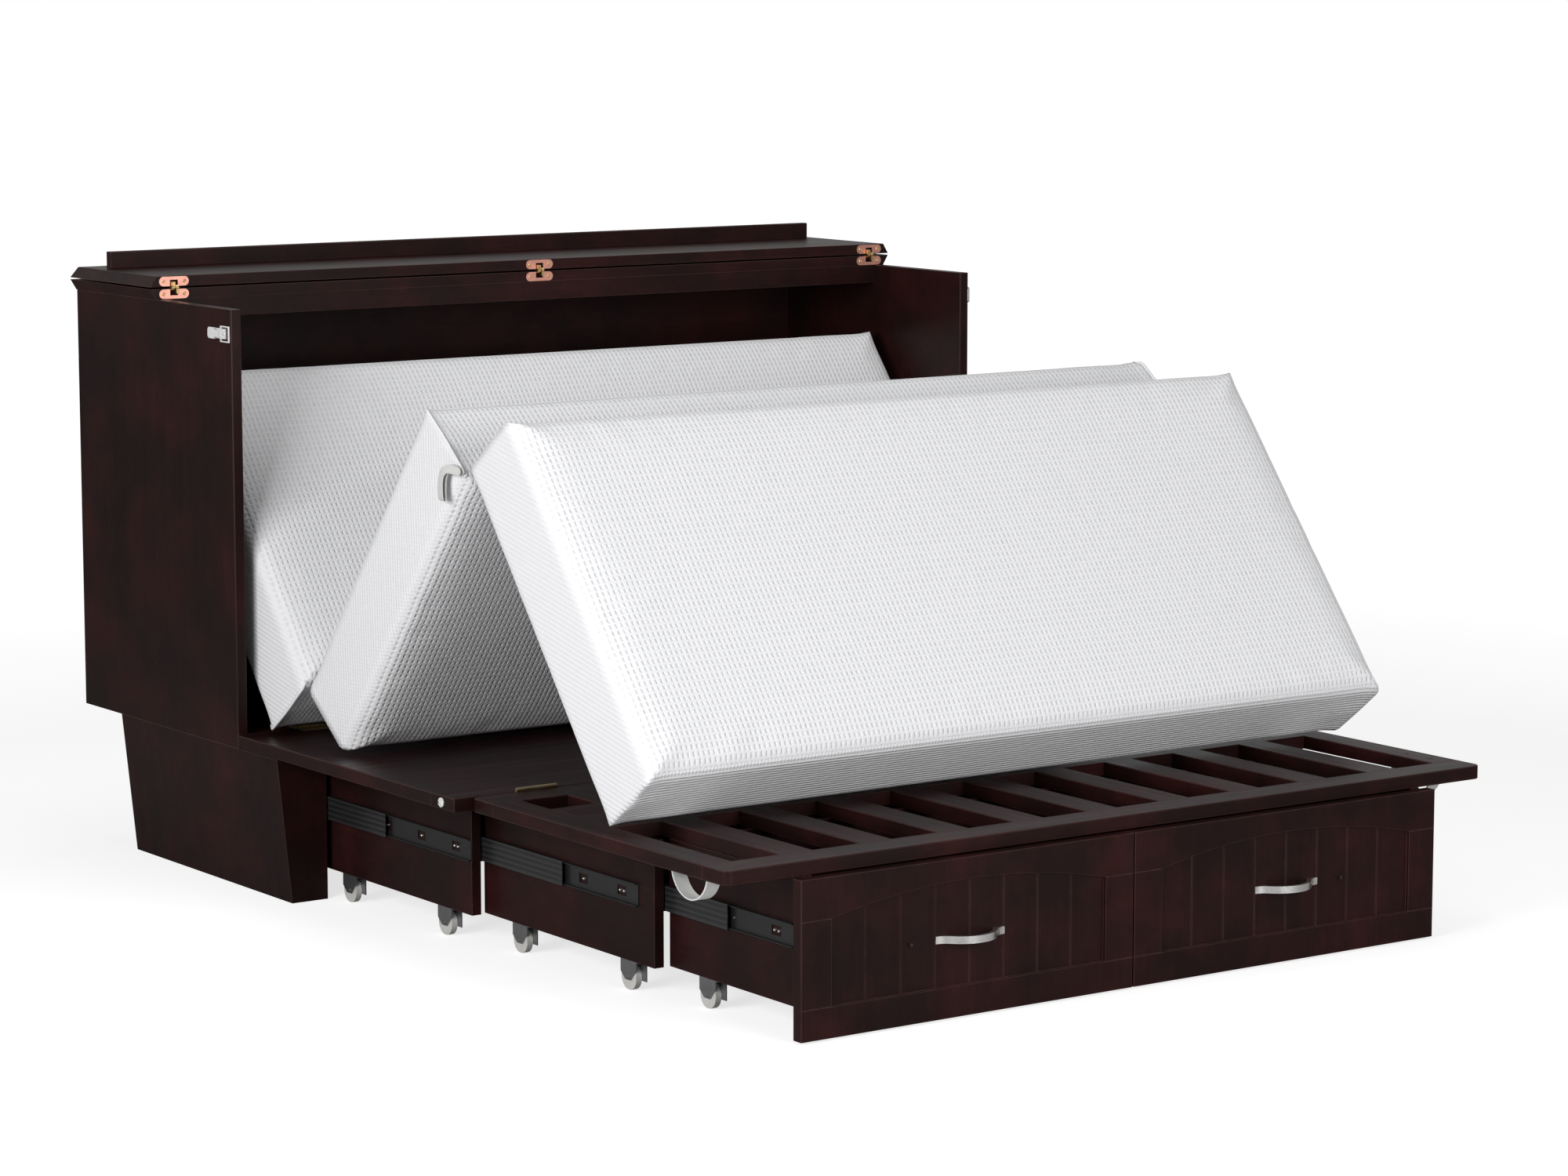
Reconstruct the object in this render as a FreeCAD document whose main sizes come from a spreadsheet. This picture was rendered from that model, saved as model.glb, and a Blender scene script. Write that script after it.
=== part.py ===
"""A cabinet bed, opened out.

A low cabinet stands on two deep plinths. Its front panel folds down on top of three box sections
that slide out of the base on ball-bearing slides, and a slatted panel folds out from the front
panel's far edge. A three-part mattress stands half unfolded on the two panels. The lid is folded
back on the fixed top.

Axes: +X to the right seen from the bed's foot, +Y to the cabinet's back, +Z up. Lengths in mm.
Below, y = 0 is the front edge of the cabinet's side panels; place() moves everything by y_shift,
so that the origin lies on the floor in the middle of the whole part.
"""
import FreeCAD, Part
import Sketcher
import math
import os
from types import SimpleNamespace

SIZES = (
    # The cabinet
    ("half_width", 819, "half the width over the side panels"),
    ("side_t", 20, "side panel thickness"),
    ("cabinet_depth", 605, "side panel depth"),
    ("base_height", 261, "floor to the underside of the deck"),
    ("deck_t", 24, "deck thickness"),
    ("cabinet_top", 1046, "floor to the top of the side panels"),
    ("back_t", 12, "back panel thickness"),
    ("back_inset", 4, "back panel behind the side panels' rear edges"),
    ("top_t", 19.5, "thickness of the fixed top and of the lid"),
    ("top_front", 282.4, "front edge of the fixed top behind the side panels' front edges"),
    ("top_over", 12, "top boards past the side panels on each side"),
    ("top_over_back", 2, "top boards past the side panels at the back"),
    ("lid_gap", 3.5, "folded-back lid above the fixed top"),
    ("lid_back_bevel", 10, "how far the lid's free edge is bevelled"),
    ("rail_h", 35, "height of the rail under the fixed top"),
    ("rail_t", 18, "thickness of that rail"),
    ("rail_setback", 1.6, "rail behind the fixed top's front edge"),
    ("cleat_h", 31.5, "height of the lid's cleat"),
    ("cleat_t", 16, "thickness of the lid's cleat"),
    ("cleat_inset", 25, "cleat's end inside the side panels' outer faces"),
    ("cleat_edge", 78, "cleat from the lid's free edge"),
    # The plinths
    ("plinth_t", 99, "plinth thickness at the top"),
    ("plinth_front", 142, "plinth in front of the side panels"),
    ("plinth_back", 456, "rear end of the plinths"),
    ("plinth_taper", 27, "how far the outer face leans in at the floor"),
    ("rear_plinth_t", 18, "thickness of the board between the plinths"),
    # The two folding panels
    ("panel_float", 0.5, "underside of the folded-down panels above the plinths"),
    ("axis_rise", 3, "panel hinge axes above the panels' top faces"),
    ("front_axis", 2.5, "front panel's hinge axis behind the side panels' front edges"),
    ("front_joint", 0.5, "gap between the deck and the front panel"),
    ("closed_gap", 8, "gap over the front panel when it is shut"),
    ("arris", 1.2, "bevel on the boards' long edges"),
    ("end_rail_w", 75.5, "rail along the front panel's far edge"),
    ("slat_joint", 4.6, "gap between the two folding panels"),
    ("slat_inset", 30, "slatted panel inside the front panel on each side"),
    ("slat_short", 4, "how much shorter the slatted panel is"),
    ("slat_side_w", 54.5, "side rails of the slatted panel"),
    ("slat_rear_w", 68.9, "its rail at the hinges"),
    ("slat_cross_w", 187, "its cross rail"),
    ("slat_front_w", 62.1, "its front rail"),
    ("short_slot", 92, "length of the short slots"),
    ("slat_w", 61.5, "slat width"),
    ("slat_count", 9, "slats between the side rails"),
    ("slat_corner", 14, "rounded corners of the slatted panel"),
    # The sliding sections
    ("board_t", 18, "side boards of the sections"),
    ("section_rear_t", 12, "cross boards of the sections"),
    ("section_floor", 51, "underside of the sections above the floor"),
    ("section_clear", 0.3, "top edges of the sections under the deck"),
    ("drawer_in", 1.1, "drawer fronts' back faces behind the slatted panel's front edge"),
    ("section1_len", 546, "length of section 1"),
    ("section2_len", 523, "length of section 2"),
    ("section3_len", 367, "length of section 3 without the drawer fronts"),
    ("overlap12", 10, "length of section 2 that stays inside section 1"),
    ("overlap23", 2, "length of section 3 that stays inside section 2"),
    ("bottom_t", 8, "drawer bottom thickness"),
    ("bottom_rise", 7, "drawer bottom above the side boards' lower edges"),
    # The panelled fronts: two drawer fronts, and two doors' worth on the front panel's outer face
    ("drawer_t", 22, "drawer front thickness"),
    ("drawer_low", 4, "lower edge of the drawer fronts above the floor"),
    ("drawer_top_gap", 2, "drawer fronts below the deck's underside"),
    ("drawer_middle_gap", 2, "gap between the two drawer fronts"),
    ("drawer_side_gap", 58, "drawer front's outer end inside the plinth's inner face"),
    ("stile_w", 58, "stiles around the recess"),
    ("bottom_rail_w", 50, "rail under the recess"),
    ("top_rail_w", 66, "rail over the recess at its ends"),
    ("arch_rise", 31, "rise of the recess's arched top"),
    ("recess_t", 6, "depth of the recess"),
    ("bead_w", 3.2, "width of the V-shaped bead grooves"),
    ("bead_t", 1.6, "depth of the bead grooves"),
    ("bead_short", 0.5, "bead grooves' ends below the arch"),
    ("bead_count", 7, "bead grooves in each drawer front"),
    ("door_bead_count", 9, "bead grooves in each door's worth of the front panel"),
    ("door_shoulder", 46, "rail over the front panel's recesses at their ends"),
    ("frame_line_w", 0.8, "width of the joint lines between rails and stiles"),
    ("frame_line_t", 0.6, "depth of those joint lines"),
    # The handles
    ("handle_len", 137, "handle length"),
    ("handle_out", 28, "handle depth from the drawer front"),
    ("handle_tall", 12, "handle height"),
    ("handle_bar", 7, "bar thickness at the crown"),
    ("handle_foot", 22, "length of each foot"),
    ("handle_tip", 2.5, "thickness of the feet's tips"),
    # The ball-bearing slides
    ("slide_gap", 13, "room for a slide between two boards"),
    ("slide_drop", 97, "middle of the slides under the deck"),
    ("slide_half_h", 22.5, "half the height of the outer member"),
    ("slide_metal", 1.5, "metal thickness"),
    ("slide_run", 0.3, "running gap between nested members"),
    ("outer_lip", 10, "depth of the outer member"),
    ("mid_in", 3, "middle member from the outer board"),
    ("mid_lip", 8, "depth of the middle member"),
    ("inner_lip", 7, "depth of the inner member"),
    ("groove_half_w", 6, "half the width of the groove along the middle member"),
    ("groove_t", 0.6, "depth of that groove"),
    ("window_w", 26, "length of the windows in the inner member"),
    ("window_half_h", 8, "half the height of the windows"),
    ("window_first", 48, "first window from the inner member's front end"),
    ("window_pitch", 115, "distance from window to window"),
    ("outer1_in", 42, "plinth's front to slide 1's outer member"),
    ("outer1_back", 36, "that member's rear end to the plinth's rear end"),
    ("outer_in", 6, "section's front end to the outer member inside it"),
    ("outer_back", 32, "section's rear end to the outer member inside it"),
    ("mid1_ahead", 243, "slide 1's middle member ahead of its outer member"),
    ("mid1_len", 383, "length of slide 1's middle member"),
    ("mid2_ahead", 258, "slide 2's middle member ahead of its outer member"),
    ("mid2_len", 388, "length of slide 2's middle member"),
    ("mid3_ahead", 182, "slide 3's middle member ahead of its outer member"),
    ("mid3_len", 405, "length of slide 3's middle member"),
    ("inner_back", 46, "slide 1's inner member from its section's rear end"),
    ("inner2_in", 45, "slide 2's inner member from its section's front end"),
    ("inner3_in", 18, "slide 3's inner member from its section's front end"),
    ("inner3_back", 13, "slide 3's inner member from its section's rear end"),
    # The casters
    ("wheel_r", 22, "wheel radius"),
    ("wheel_w", 11, "wheel width"),
    ("rivet_r", 3.5, "radius of the axle's riveted end"),
    ("rivet_out", 1.2, "riveted end in front of the outer cheek"),
    ("bracket_t", 2, "bracket metal thickness"),
    ("bracket_gap", 0.5, "wheel to bracket"),
    ("bracket_low", 17, "lower edge of the bracket above the floor"),
    ("cheek_rear", 21, "outer cheek behind the axle"),
    ("cheek_front", 25, "outer cheek ahead of the axle"),
    ("cheek_toe", 8, "level part of the outer cheek's lower edge to each side of the axle"),
    ("cheek_heel", 12, "rise of the outer cheek's lower edge to its rear edge"),
    ("flange_rear", 9, "inner cheek behind the axle"),
    ("flange_front", 34, "inner cheek ahead of the axle"),
    ("caster_in", 2, "wheels inside the middle of the side boards"),
    ("caster_rear", 120, "rear wheel from its section's rear end"),
    ("caster_front", 98, "front wheel from its section's front end"),
    ("caster_last", 101, "section 3's wheel from its rear end"),
    ("caster_shift", 14, "section 2's wheels nearer its ends than section 1's"),
    # The mattress
    ("pad_t", 170, "mattress thickness"),
    ("pad_len", 680, "length of each mattress part"),
    ("pad_room", 23, "mattress's end to the side panel's inner face"),
    ("pad_skin", 0.4, "each mattress part inside its nominal outline"),
    ("pad_lift", 0.3, "mattress above the panels"),
    ("pad_lean", 52, "slope of the half-folded mattress parts in degrees"),
    ("pad_foot", 298, "fold on the front panel ahead of the side panels"),
    # The lid hinges
    ("lid_axis_in", 1.2, "lid hinge axis in front of the top boards"),
    ("lid_axis_up", 0.15, "lid hinge axis above the middle of the gap"),
    ("plate_len", 60, "lid hinge plate length"),
    ("plate_h", 17.3, "lid hinge plate height"),
    ("plate_t", 2, "lid hinge plate thickness"),
    ("plate_edge", 1.1, "plate from the edge that faces the other board"),
    ("plate_slot", 16, "width of the plate's slot and of the mortise behind it"),
    ("mortise_in", 12.6, "depth of the mortise behind the plate"),
    ("mortise_h", 12.5, "height of the mortise"),
    ("lid_pin_r", 2.5, "lid hinge pin radius"),
    ("pin_run", 0.05, "running gap round the pin"),
    ("lid_eye_r", 5, "radius of the links' eyes"),
    ("lid_link_w", 6, "width of each link"),
    ("lid_link_gap", 1, "each link from the hinge's middle"),
    ("lid_arm_near", 2.7, "link arms from the lid axis, near side"),
    ("lid_arm_far", 10.6, "link arms from the lid axis, far side"),
    ("lid_arm_out", 6.2, "link arms in front of the lid axis"),
    ("lid_hinge_in", 36, "outer lid hinges' middles inside the side panels' outer faces"),
    # The panel hinges
    ("knuckle_r", 3.5, "radius of the slatted panel's hinge barrels"),
    ("barrel_len", 79, "length of those barrels"),
    ("barrel_in", 158, "outer barrels' middles inside the panels' ends"),
    ("leaf_t", 1.2, "leaf thickness of those hinges"),
    ("leaf_low", 20, "how far their leaves reach down"),
    ("small_knuckle_r", 3, "radius of the front panel's hinge barrels"),
    ("small_leaf_t", 1.5, "leaf thickness of those hinges"),
    ("small_leaf_w", 27.5, "leaf width of those hinges"),
    ("knuckle_play", 0.4, "end play between knuckles"),
    ("leaf_play", 0.3, "leaf from the other leaf's knuckles"),
    ("tongue_low", 1, "tongues' upper ends below the barrels' axis"),
    # The latches
    ("latch_drop", 44, "latches under the side panels' top edges"),
    ("latch_plate_t", 2, "base plate thickness"),
    ("latch_run", 0.6, "lever and loop off the base plate"),
    ("latch_front", 18, "front end of the base plate"),
    ("latch_back", 72, "rear end of the base plate"),
    ("latch_half_h", 9, "half the base plate's height"),
    ("lever_axis", 38, "lever's pivot behind the side panels' front edges"),
    ("lever_len", 37, "lever length"),
    ("lever_half_h", 10, "half the height of the lever's knob"),
    ("lever_neck_half_h", 6, "half the height of the lever's neck"),
    ("lever_neck_len", 10, "length of the lever's neck"),
    ("lever_corner", 4, "bevel at the knob's corners"),
    ("lever_t", 4.5, "lever thickness"),
    ("lever_heel", 1.5, "lever's heel in front of its pivot"),
    ("loop_axis", 31, "loop's pivot behind the side panels' front edges"),
    ("loop_len", 30, "loop length"),
    ("loop_half_h", 14.5, "half the loop's height"),
    ("wire", 2.4, "loop's wire thickness"),
    ("keeper_from_end", 40.5, "keeper from the front panel's far edge"),
    ("keeper_r", 8, "keeper's plate radius"),
    ("keeper_t", 2, "keeper's plate thickness"),
    ("hook_w", 6, "width of the keeper's hook"),
    ("hook_h", 9, "height of the keeper's hook"),
    ("hook_out", 3, "keeper's hook in front of its plate"),
    # The pull straps
    ("strap_in", 32, "strap from the slatted panel's side"),
    ("strap_front", 75, "strap from the slatted panel's front edge"),
    ("strap_span", 103, "length of board that a strap spans"),
    ("strap_drop", 45, "how far a strap hangs down"),
    ("strap_w", 25, "strap width"),
    ("strap_t", 2, "strap thickness"),
)

os.makedirs("parts", exist_ok=True)
doc = FreeCAD.newDocument("CabinetBed")
sheet = doc.addObject("Spreadsheet::Sheet", "Sizes")


class Size:
    """A length, angle or ratio: its value, and its expression over the sheet's cells."""

    def __init__(self, value, text):
        self.value = value
        self.text = text

    def __add__(self, other):
        other = size(other)
        return Size(self.value + other.value, "(%s + %s)" % (self.text, other.text))

    def __sub__(self, other):
        other = size(other)
        return Size(self.value - other.value, "(%s - %s)" % (self.text, other.text))

    def __mul__(self, other):
        other = size(other)
        return Size(self.value * other.value, "(%s * %s)" % (self.text, other.text))

    def __truediv__(self, other):
        other = size(other)
        return Size(self.value / other.value, "(%s / %s)" % (self.text, other.text))

    def __radd__(self, other):
        return size(other) + self

    def __rsub__(self, other):
        return size(other) - self

    def __rmul__(self, other):
        return size(other) * self

    def __neg__(self):
        return size(0) - self


def size(number):
    """A plain number as a Size; a Size stays as it is."""
    if isinstance(number, Size):
        return number
    return Size(float(number), "(%r)" % float(number))


def sine(angle):
    return Size(math.sin(math.radians(angle.value)), "sin(%s)" % angle.text)


def cosine(angle):
    return Size(math.cos(math.radians(angle.value)), "cos(%s)" % angle.text)


def root(square):
    return Size(math.sqrt(square.value), "sqrt(%s)" % square.text)


d = SimpleNamespace()
for row, (alias, value, note) in enumerate(SIZES, 1):
    sheet.set("A%d" % row, note)
    sheet.set("B%d" % row, str(value))
    sheet.setAlias("B%d" % row, alias)
    setattr(d, alias, Size(float(value), "Sizes." + alias))
doc.recompute()

# ---------------------------------------------------------------- places that several pieces share
inner_x = d.half_width - d.side_t
top_x = d.half_width + d.top_over
plinth_x = d.half_width - d.plinth_t
deck_top = d.base_height + d.deck_t
back_y = d.cabinet_depth - d.back_inset - d.back_t
top_back = d.cabinet_depth + d.top_over_back
fixed_top_z = d.cabinet_top + d.top_t
lid_z = fixed_top_z + d.lid_gap
lid_top = lid_z + d.top_t
panel_low = d.base_height + d.panel_float
panel_t = d.deck_t - d.panel_float
axis_z = deck_top + d.axis_rise
panel_end = d.front_axis - (d.cabinet_top - d.closed_gap - axis_z)
slat_start = panel_end - d.slat_joint
slat_len = -d.front_joint - panel_end - d.slat_short
slat_end = slat_start - slat_len
slat_x = d.half_width - d.slat_inset
section_top = d.base_height - d.section_clear
front3 = -slat_end - d.drawer_in
rear3 = front3 - d.section3_len
front2 = rear3 + d.overlap23
rear2 = front2 - d.section2_len
front1 = rear2 + d.overlap12
rear1 = front1 - d.section1_len
slide_z = d.base_height - d.slide_drop
lid_hinge_x = d.half_width - d.lid_hinge_in
lid_axis_y = d.top_front - d.lid_axis_in
lid_axis_z = fixed_top_z + d.lid_gap / 2 + d.lid_axis_up
latch_z = d.cabinet_top - d.latch_drop
pad_half = inner_x - d.pad_room
handle_front = front3 + d.drawer_t + d.handle_out
y_shift = (handle_front - top_back) / 2


def place(item, x=0, y=0, z=0):
    """Puts an item's own origin at x, y, z."""
    item.setExpression("Placement.Base.x", size(x).text)
    item.setExpression("Placement.Base.y", (y + y_shift).text)
    item.setExpression("Placement.Base.z", size(z).text)
    return item


# ---------------------------------------------------------------- helpers
X_AXIS = FreeCAD.Vector(1, 0, 0)
Y_AXIS = FreeCAD.Vector(0, 1, 0)
Z_AXIS = FreeCAD.Vector(0, 0, 1)


def new_body(label):
    body = doc.addObject("PartDesign::Body", label)
    body.Label = label
    return body


def origin_feature(body, role):
    return [part for part in body.Origin.OriginFeatures if part.Role == role][0]


def arc_between(start, end, radius):
    """The short arc from start to end; a positive radius turns left."""
    chord = end - start
    half = chord.Length / 2
    side = FreeCAD.Vector(-chord.y, chord.x, 0).normalize()
    if radius < 0:
        side = -side
    rise = abs(radius) - math.sqrt(max(radius * radius - half * half, 0))
    return Part.Arc(start, start + chord / 2 - side * rise, end)


def add_loop(sketch, loop):
    """A closed outline: points (u, v), or (u, v, radius) where an arc leads to the next point."""
    first = sketch.GeometryCount
    points = [FreeCAD.Vector(size(p[0]).value, size(p[1]).value, 0) for p in loop]
    count = len(loop)
    starts = []
    ends = []
    for i, point in enumerate(loop):
        start = points[i]
        end = points[(i + 1) % count]
        turns_left = True
        if len(point) == 3:
            turns_left = point[2].value > 0
            edge = arc_between(start, end, point[2].value)
        else:
            edge = Part.LineSegment(start, end)
        sketch.addGeometry(edge, False)
        starts.append(1 if turns_left else 2)
        ends.append(2 if turns_left else 1)
    for i, point in enumerate(loop):
        before = (i - 1) % count
        edge = first + i
        sketch.addConstraint(
            Sketcher.Constraint("Coincident", first + before, ends[before], edge, starts[i]))
        for kind, value in (("DistanceX", size(point[0])), ("DistanceY", size(point[1]))):
            key = sketch.addConstraint(
                Sketcher.Constraint(kind, -1, 1, edge, starts[i], value.value))
            sketch.setExpression("Constraints[%d]" % key, value.text)
        if len(point) == 3:
            radius = point[2] if point[2].value > 0 else -point[2]
            key = sketch.addConstraint(Sketcher.Constraint("Radius", edge, radius.value))
            sketch.setExpression("Constraints[%d]" % key, radius.text)


def add_circle(sketch, u, v, radius):
    u, v, radius = size(u), size(v), size(radius)
    edge = sketch.GeometryCount
    centre = FreeCAD.Vector(u.value, v.value, 0)
    sketch.addGeometry(Part.Circle(centre, FreeCAD.Vector(0, 0, 1), radius.value), False)
    for kind, value in (("DistanceX", u), ("DistanceY", v)):
        key = sketch.addConstraint(Sketcher.Constraint(kind, -1, 1, edge, 3, value.value))
        sketch.setExpression("Constraints[%d]" % key, value.text)
    key = sketch.addConstraint(Sketcher.Constraint("Radius", edge, radius.value))
    sketch.setExpression("Constraints[%d]" % key, radius.text)


def new_sketch(body, role, loops=(), circles=(), offset=None):
    """A sketch on one of the body's own planes, moved along the plane's normal by offset."""
    sketch = body.newObject("Sketcher::SketchObject", body.Label + "_sketch")
    sketch.AttachmentSupport = [(origin_feature(body, role), "")]
    sketch.MapMode = "FlatFace"
    if offset is not None:
        sketch.setExpression("AttachmentOffset.Base.z", size(offset).text)
    for loop in loops:
        add_loop(sketch, loop)
    for circle in circles:
        add_circle(sketch, *circle)
    return sketch


def pad(body, sketch, length):
    feature = body.newObject("PartDesign::Pad", body.Label + "_pad")
    feature.Profile = sketch
    feature.setExpression("Length", size(length).text)
    sketch.Visibility = False
    return feature


def pocket(body, sketch, depth):
    """Cuts against the sketch plane's normal."""
    feature = body.newObject("PartDesign::Pocket", body.Label + "_pocket")
    feature.Profile = sketch
    feature.setExpression("Length", size(depth).text)
    return feature


def bevel_along(body, feature, axis, width):
    """Bevels every straight edge of a feature that runs along an axis."""
    feature.recompute(True)
    names = []
    for i, edge in enumerate(feature.Shape.Edges, 1):
        run = edge.Vertexes[-1].Point - edge.Vertexes[0].Point
        if edge.Length > 0 and abs(abs(run.dot(axis)) - edge.Length) < 0.001:
            names.append("Edge%d" % i)
    bevel = body.newObject("PartDesign::Chamfer", body.Label + "_arris")
    bevel.Base = (feature, names)
    bevel.setExpression("Size", width.text)
    return bevel


def row_of(body, feature, axis, spacing, count):
    """Repeats a feature along one of the body's own axes."""
    pattern = body.newObject("PartDesign::LinearPattern", body.Label + "_row")
    pattern.Originals = [feature]
    pattern.Direction = (origin_feature(body, axis), [""])
    pattern.setExpression("Length", (spacing * (count - 1)).text)
    pattern.setExpression("Occurrences", size(count).text)
    body.Tip = pattern
    return pattern


def rectangle(u0, u1, v0, v1):
    return [(u0, v0), (u1, v0), (u1, v1), (u0, v1)]


def prism(label, role, loops, length, x=0, y=0, z=0, circles=()):
    """Extrudes outlines: XY_Plane towards +Z, XZ_Plane towards -Y, YZ_Plane towards +X."""
    body = new_body(label)
    pad(body, new_sketch(body, role, loops, circles), length)
    return place(body, x, y, z)


def board(label, x0, x1, y0, y1, z0, z1, arris=None):
    """A plain board between two places along each axis; arris is the axis of its bevelled edges."""
    x0, y0, z0 = size(x0), size(y0), size(z0)
    outline = rectangle(0, x1 - x0, 0, y1 - y0)
    body = prism(label, "XY_Plane", [outline], z1 - z0, x0, y0, z0)
    if arris:
        bevel_along(body, body.Tip, arris, d.arris)
    return body


def mirrored(label, source):
    """The same piece on the other side of the middle plane."""
    mirror = doc.addObject("Part::Mirroring", label)
    mirror.Label = label
    mirror.Source = source
    mirror.Normal = (1, 0, 0)
    return mirror


def group(label, *members):
    """Separate solids that share one node."""
    compound = doc.addObject("Part::Compound", label + "_group")
    compound.Label = label
    compound.Links = list(members)
    return compound


def both_sides(label, right):
    return group(label, right, mirrored(label + "_left_half", right))


nodes = []


def keep(item):
    nodes.append(item)
    return item


# ---------------------------------------------------------------- the cabinet
def side_panels():
    right = board("side_panel_right", inner_x, d.half_width, 0, d.cabinet_depth,
                  d.base_height, d.cabinet_top, Z_AXIS)
    keep(right)
    keep(mirrored("side_panel_left", right))


def plinths():
    outline = [
        (0, 0),
        (d.plinth_t - d.plinth_taper, 0),
        (d.plinth_t, d.base_height),
        (0, d.base_height),
    ]
    right = prism("plinth_right", "XZ_Plane", [outline], d.plinth_front + d.plinth_back,
                  plinth_x, d.plinth_back)
    keep(right)
    keep(mirrored("plinth_left", right))
    keep(board("plinth_rear", -plinth_x, plinth_x, d.plinth_back - d.rear_plinth_t, d.plinth_back,
               0, d.base_height))


def carcass():
    keep(board("deck", -inner_x, inner_x, 0, back_y, d.base_height, deck_top))
    keep(board("back_panel", -inner_x, inner_x, back_y, back_y + d.back_t,
               d.base_height, d.cabinet_top))
    rail_y = d.top_front + d.rail_setback
    keep(board("top_rail", -inner_x, inner_x, rail_y, rail_y + d.rail_t,
               d.cabinet_top - d.rail_h, d.cabinet_top))


def bevelled_top(label, wide_below, low_z):
    """A top board whose ends slope; the wide face is the lower one or the upper one."""
    wide = top_x
    narrow = d.half_width
    low, high = (wide, narrow) if wide_below else (narrow, wide)
    outline = [(-low, 0), (low, 0), (high, d.top_t), (-high, d.top_t)]
    return prism(label, "XZ_Plane", [outline], top_back - d.top_front, 0, top_back, low_z)


def hinge_mortises(body, z0):
    """Slots for the plates and, behind them, for the links."""
    for middle in (-lid_hinge_x, size(0), lid_hinge_x):
        plate_low, mortise_low = z0
        recess = new_sketch(body, "XZ_Plane", [stadium(middle, plate_low)],
                            offset=top_back - d.top_front)
        pocket(body, recess, d.plate_t)
        half = d.plate_slot / 2
        cavity = rectangle(middle - half, middle + half, mortise_low, mortise_low + d.mortise_h)
        pocket(body, new_sketch(body, "XZ_Plane", [cavity], offset=top_back - d.top_front),
               d.mortise_in)


def stadium(middle, low):
    """A lid hinge plate's outline: straight long edges and half-round ends."""
    radius = d.plate_h / 2
    left = middle - d.plate_len / 2
    right = middle + d.plate_len / 2
    centre = low + radius
    return [
        (left + radius, low),
        (right - radius, low, radius),
        (right, centre, radius),
        (right - radius, low + d.plate_h),
        (left + radius, low + d.plate_h, radius),
        (left, centre, radius),
    ]


def tops():
    fixed = bevelled_top("top_fixed", False, d.cabinet_top)
    plate_low = d.top_t - d.plate_edge - d.plate_h
    hinge_mortises(fixed, (plate_low, d.top_t - d.mortise_h))
    keep(fixed)
    lid = bevelled_top("lid_panel", True, lid_z)
    hinge_mortises(lid, (d.plate_edge, size(0)))
    edge = [(0, 0), (0, d.top_t), (-d.lid_back_bevel, d.top_t)]
    bevel = new_sketch(lid, "YZ_Plane", [edge], offset=top_x)
    pocket(lid, bevel, top_x * 2)
    keep(lid)
    cleat_x = d.half_width - d.cleat_inset
    cleat_back = top_back - d.cleat_edge
    keep(board("lid_cleat", -cleat_x, cleat_x, cleat_back - d.cleat_t, cleat_back,
               lid_top, lid_top + d.cleat_h, X_AXIS))


# ---------------------------------------------------------------- the lid's hinges
def lid_hinges():
    """Flush plates with slots, and two links that turn on one pin at each of three places."""
    lower = []
    upper = []
    for i, middle in enumerate((-lid_hinge_x, size(0), lid_hinge_x)):
        lower.append(lid_hinge_half("lid_hinge_lower_%d" % i, middle, 1))
        upper.append(lid_hinge_half("lid_hinge_upper_%d" % i, middle, -1))
    keep(group("lid_hinge_lower", *lower))
    keep(group("lid_hinge_upper", *upper))


def lid_hinge_half(label, middle, side):
    """side is 1 for the half under the axis, which carries the pin, and -1 for the half over it."""
    body = new_body(label)
    half = d.plate_slot / 2
    plate_depth = top_back - d.top_front
    if side > 0:
        plate_low = d.cabinet_top + d.top_t - d.plate_edge - d.plate_h
        slot = rectangle(middle - half, middle + half, d.cabinet_top + d.top_t - d.mortise_h,
                         d.cabinet_top + d.top_t)
    else:
        plate_low = lid_z + d.plate_edge
        slot = rectangle(middle - half, middle + half, lid_z, lid_z + d.mortise_h)
    pad(body, new_sketch(body, "XZ_Plane", [stadium(middle, plate_low)],
                         offset=plate_depth - d.plate_t), d.plate_t)
    pocket(body, new_sketch(body, "XZ_Plane", [slot], offset=plate_depth), d.plate_t)
    place(body, 0, top_back, 0)
    near = d.lid_link_gap
    far = d.lid_link_gap + d.lid_link_w
    reach = d.lid_axis_in + d.mortise_in
    if side > 0:
        x0, x1 = middle + near, middle + far
        arm = rectangle(-d.lid_arm_out, reach, -d.lid_arm_far, -d.lid_arm_near)
    else:
        x0, x1 = middle - far, middle - near
        arm = rectangle(-d.lid_arm_out, reach, d.lid_arm_near, d.lid_arm_far)
    link = fused(label + "_link",
                 prism(label + "_arm", "YZ_Plane", [arm], x1 - x0, x0, lid_axis_y, lid_axis_z),
                 knuckle(label + "_eye", x0, x1, d.lid_eye_r, lid_axis_y, lid_axis_z))
    if side > 0:
        pin = knuckle(label + "_pin", middle - far, x0, d.lid_pin_r, lid_axis_y, lid_axis_z)
        return group(label, body, fused(label + "_link_and_pin", link, pin))
    bored = doc.addObject("Part::Cut", label + "_bored_link")
    bored.Base = link
    bored.Tool = knuckle(label + "_bore", x0, x1, d.lid_pin_r + d.pin_run, lid_axis_y, lid_axis_z)
    return group(label, body, bored)


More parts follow.
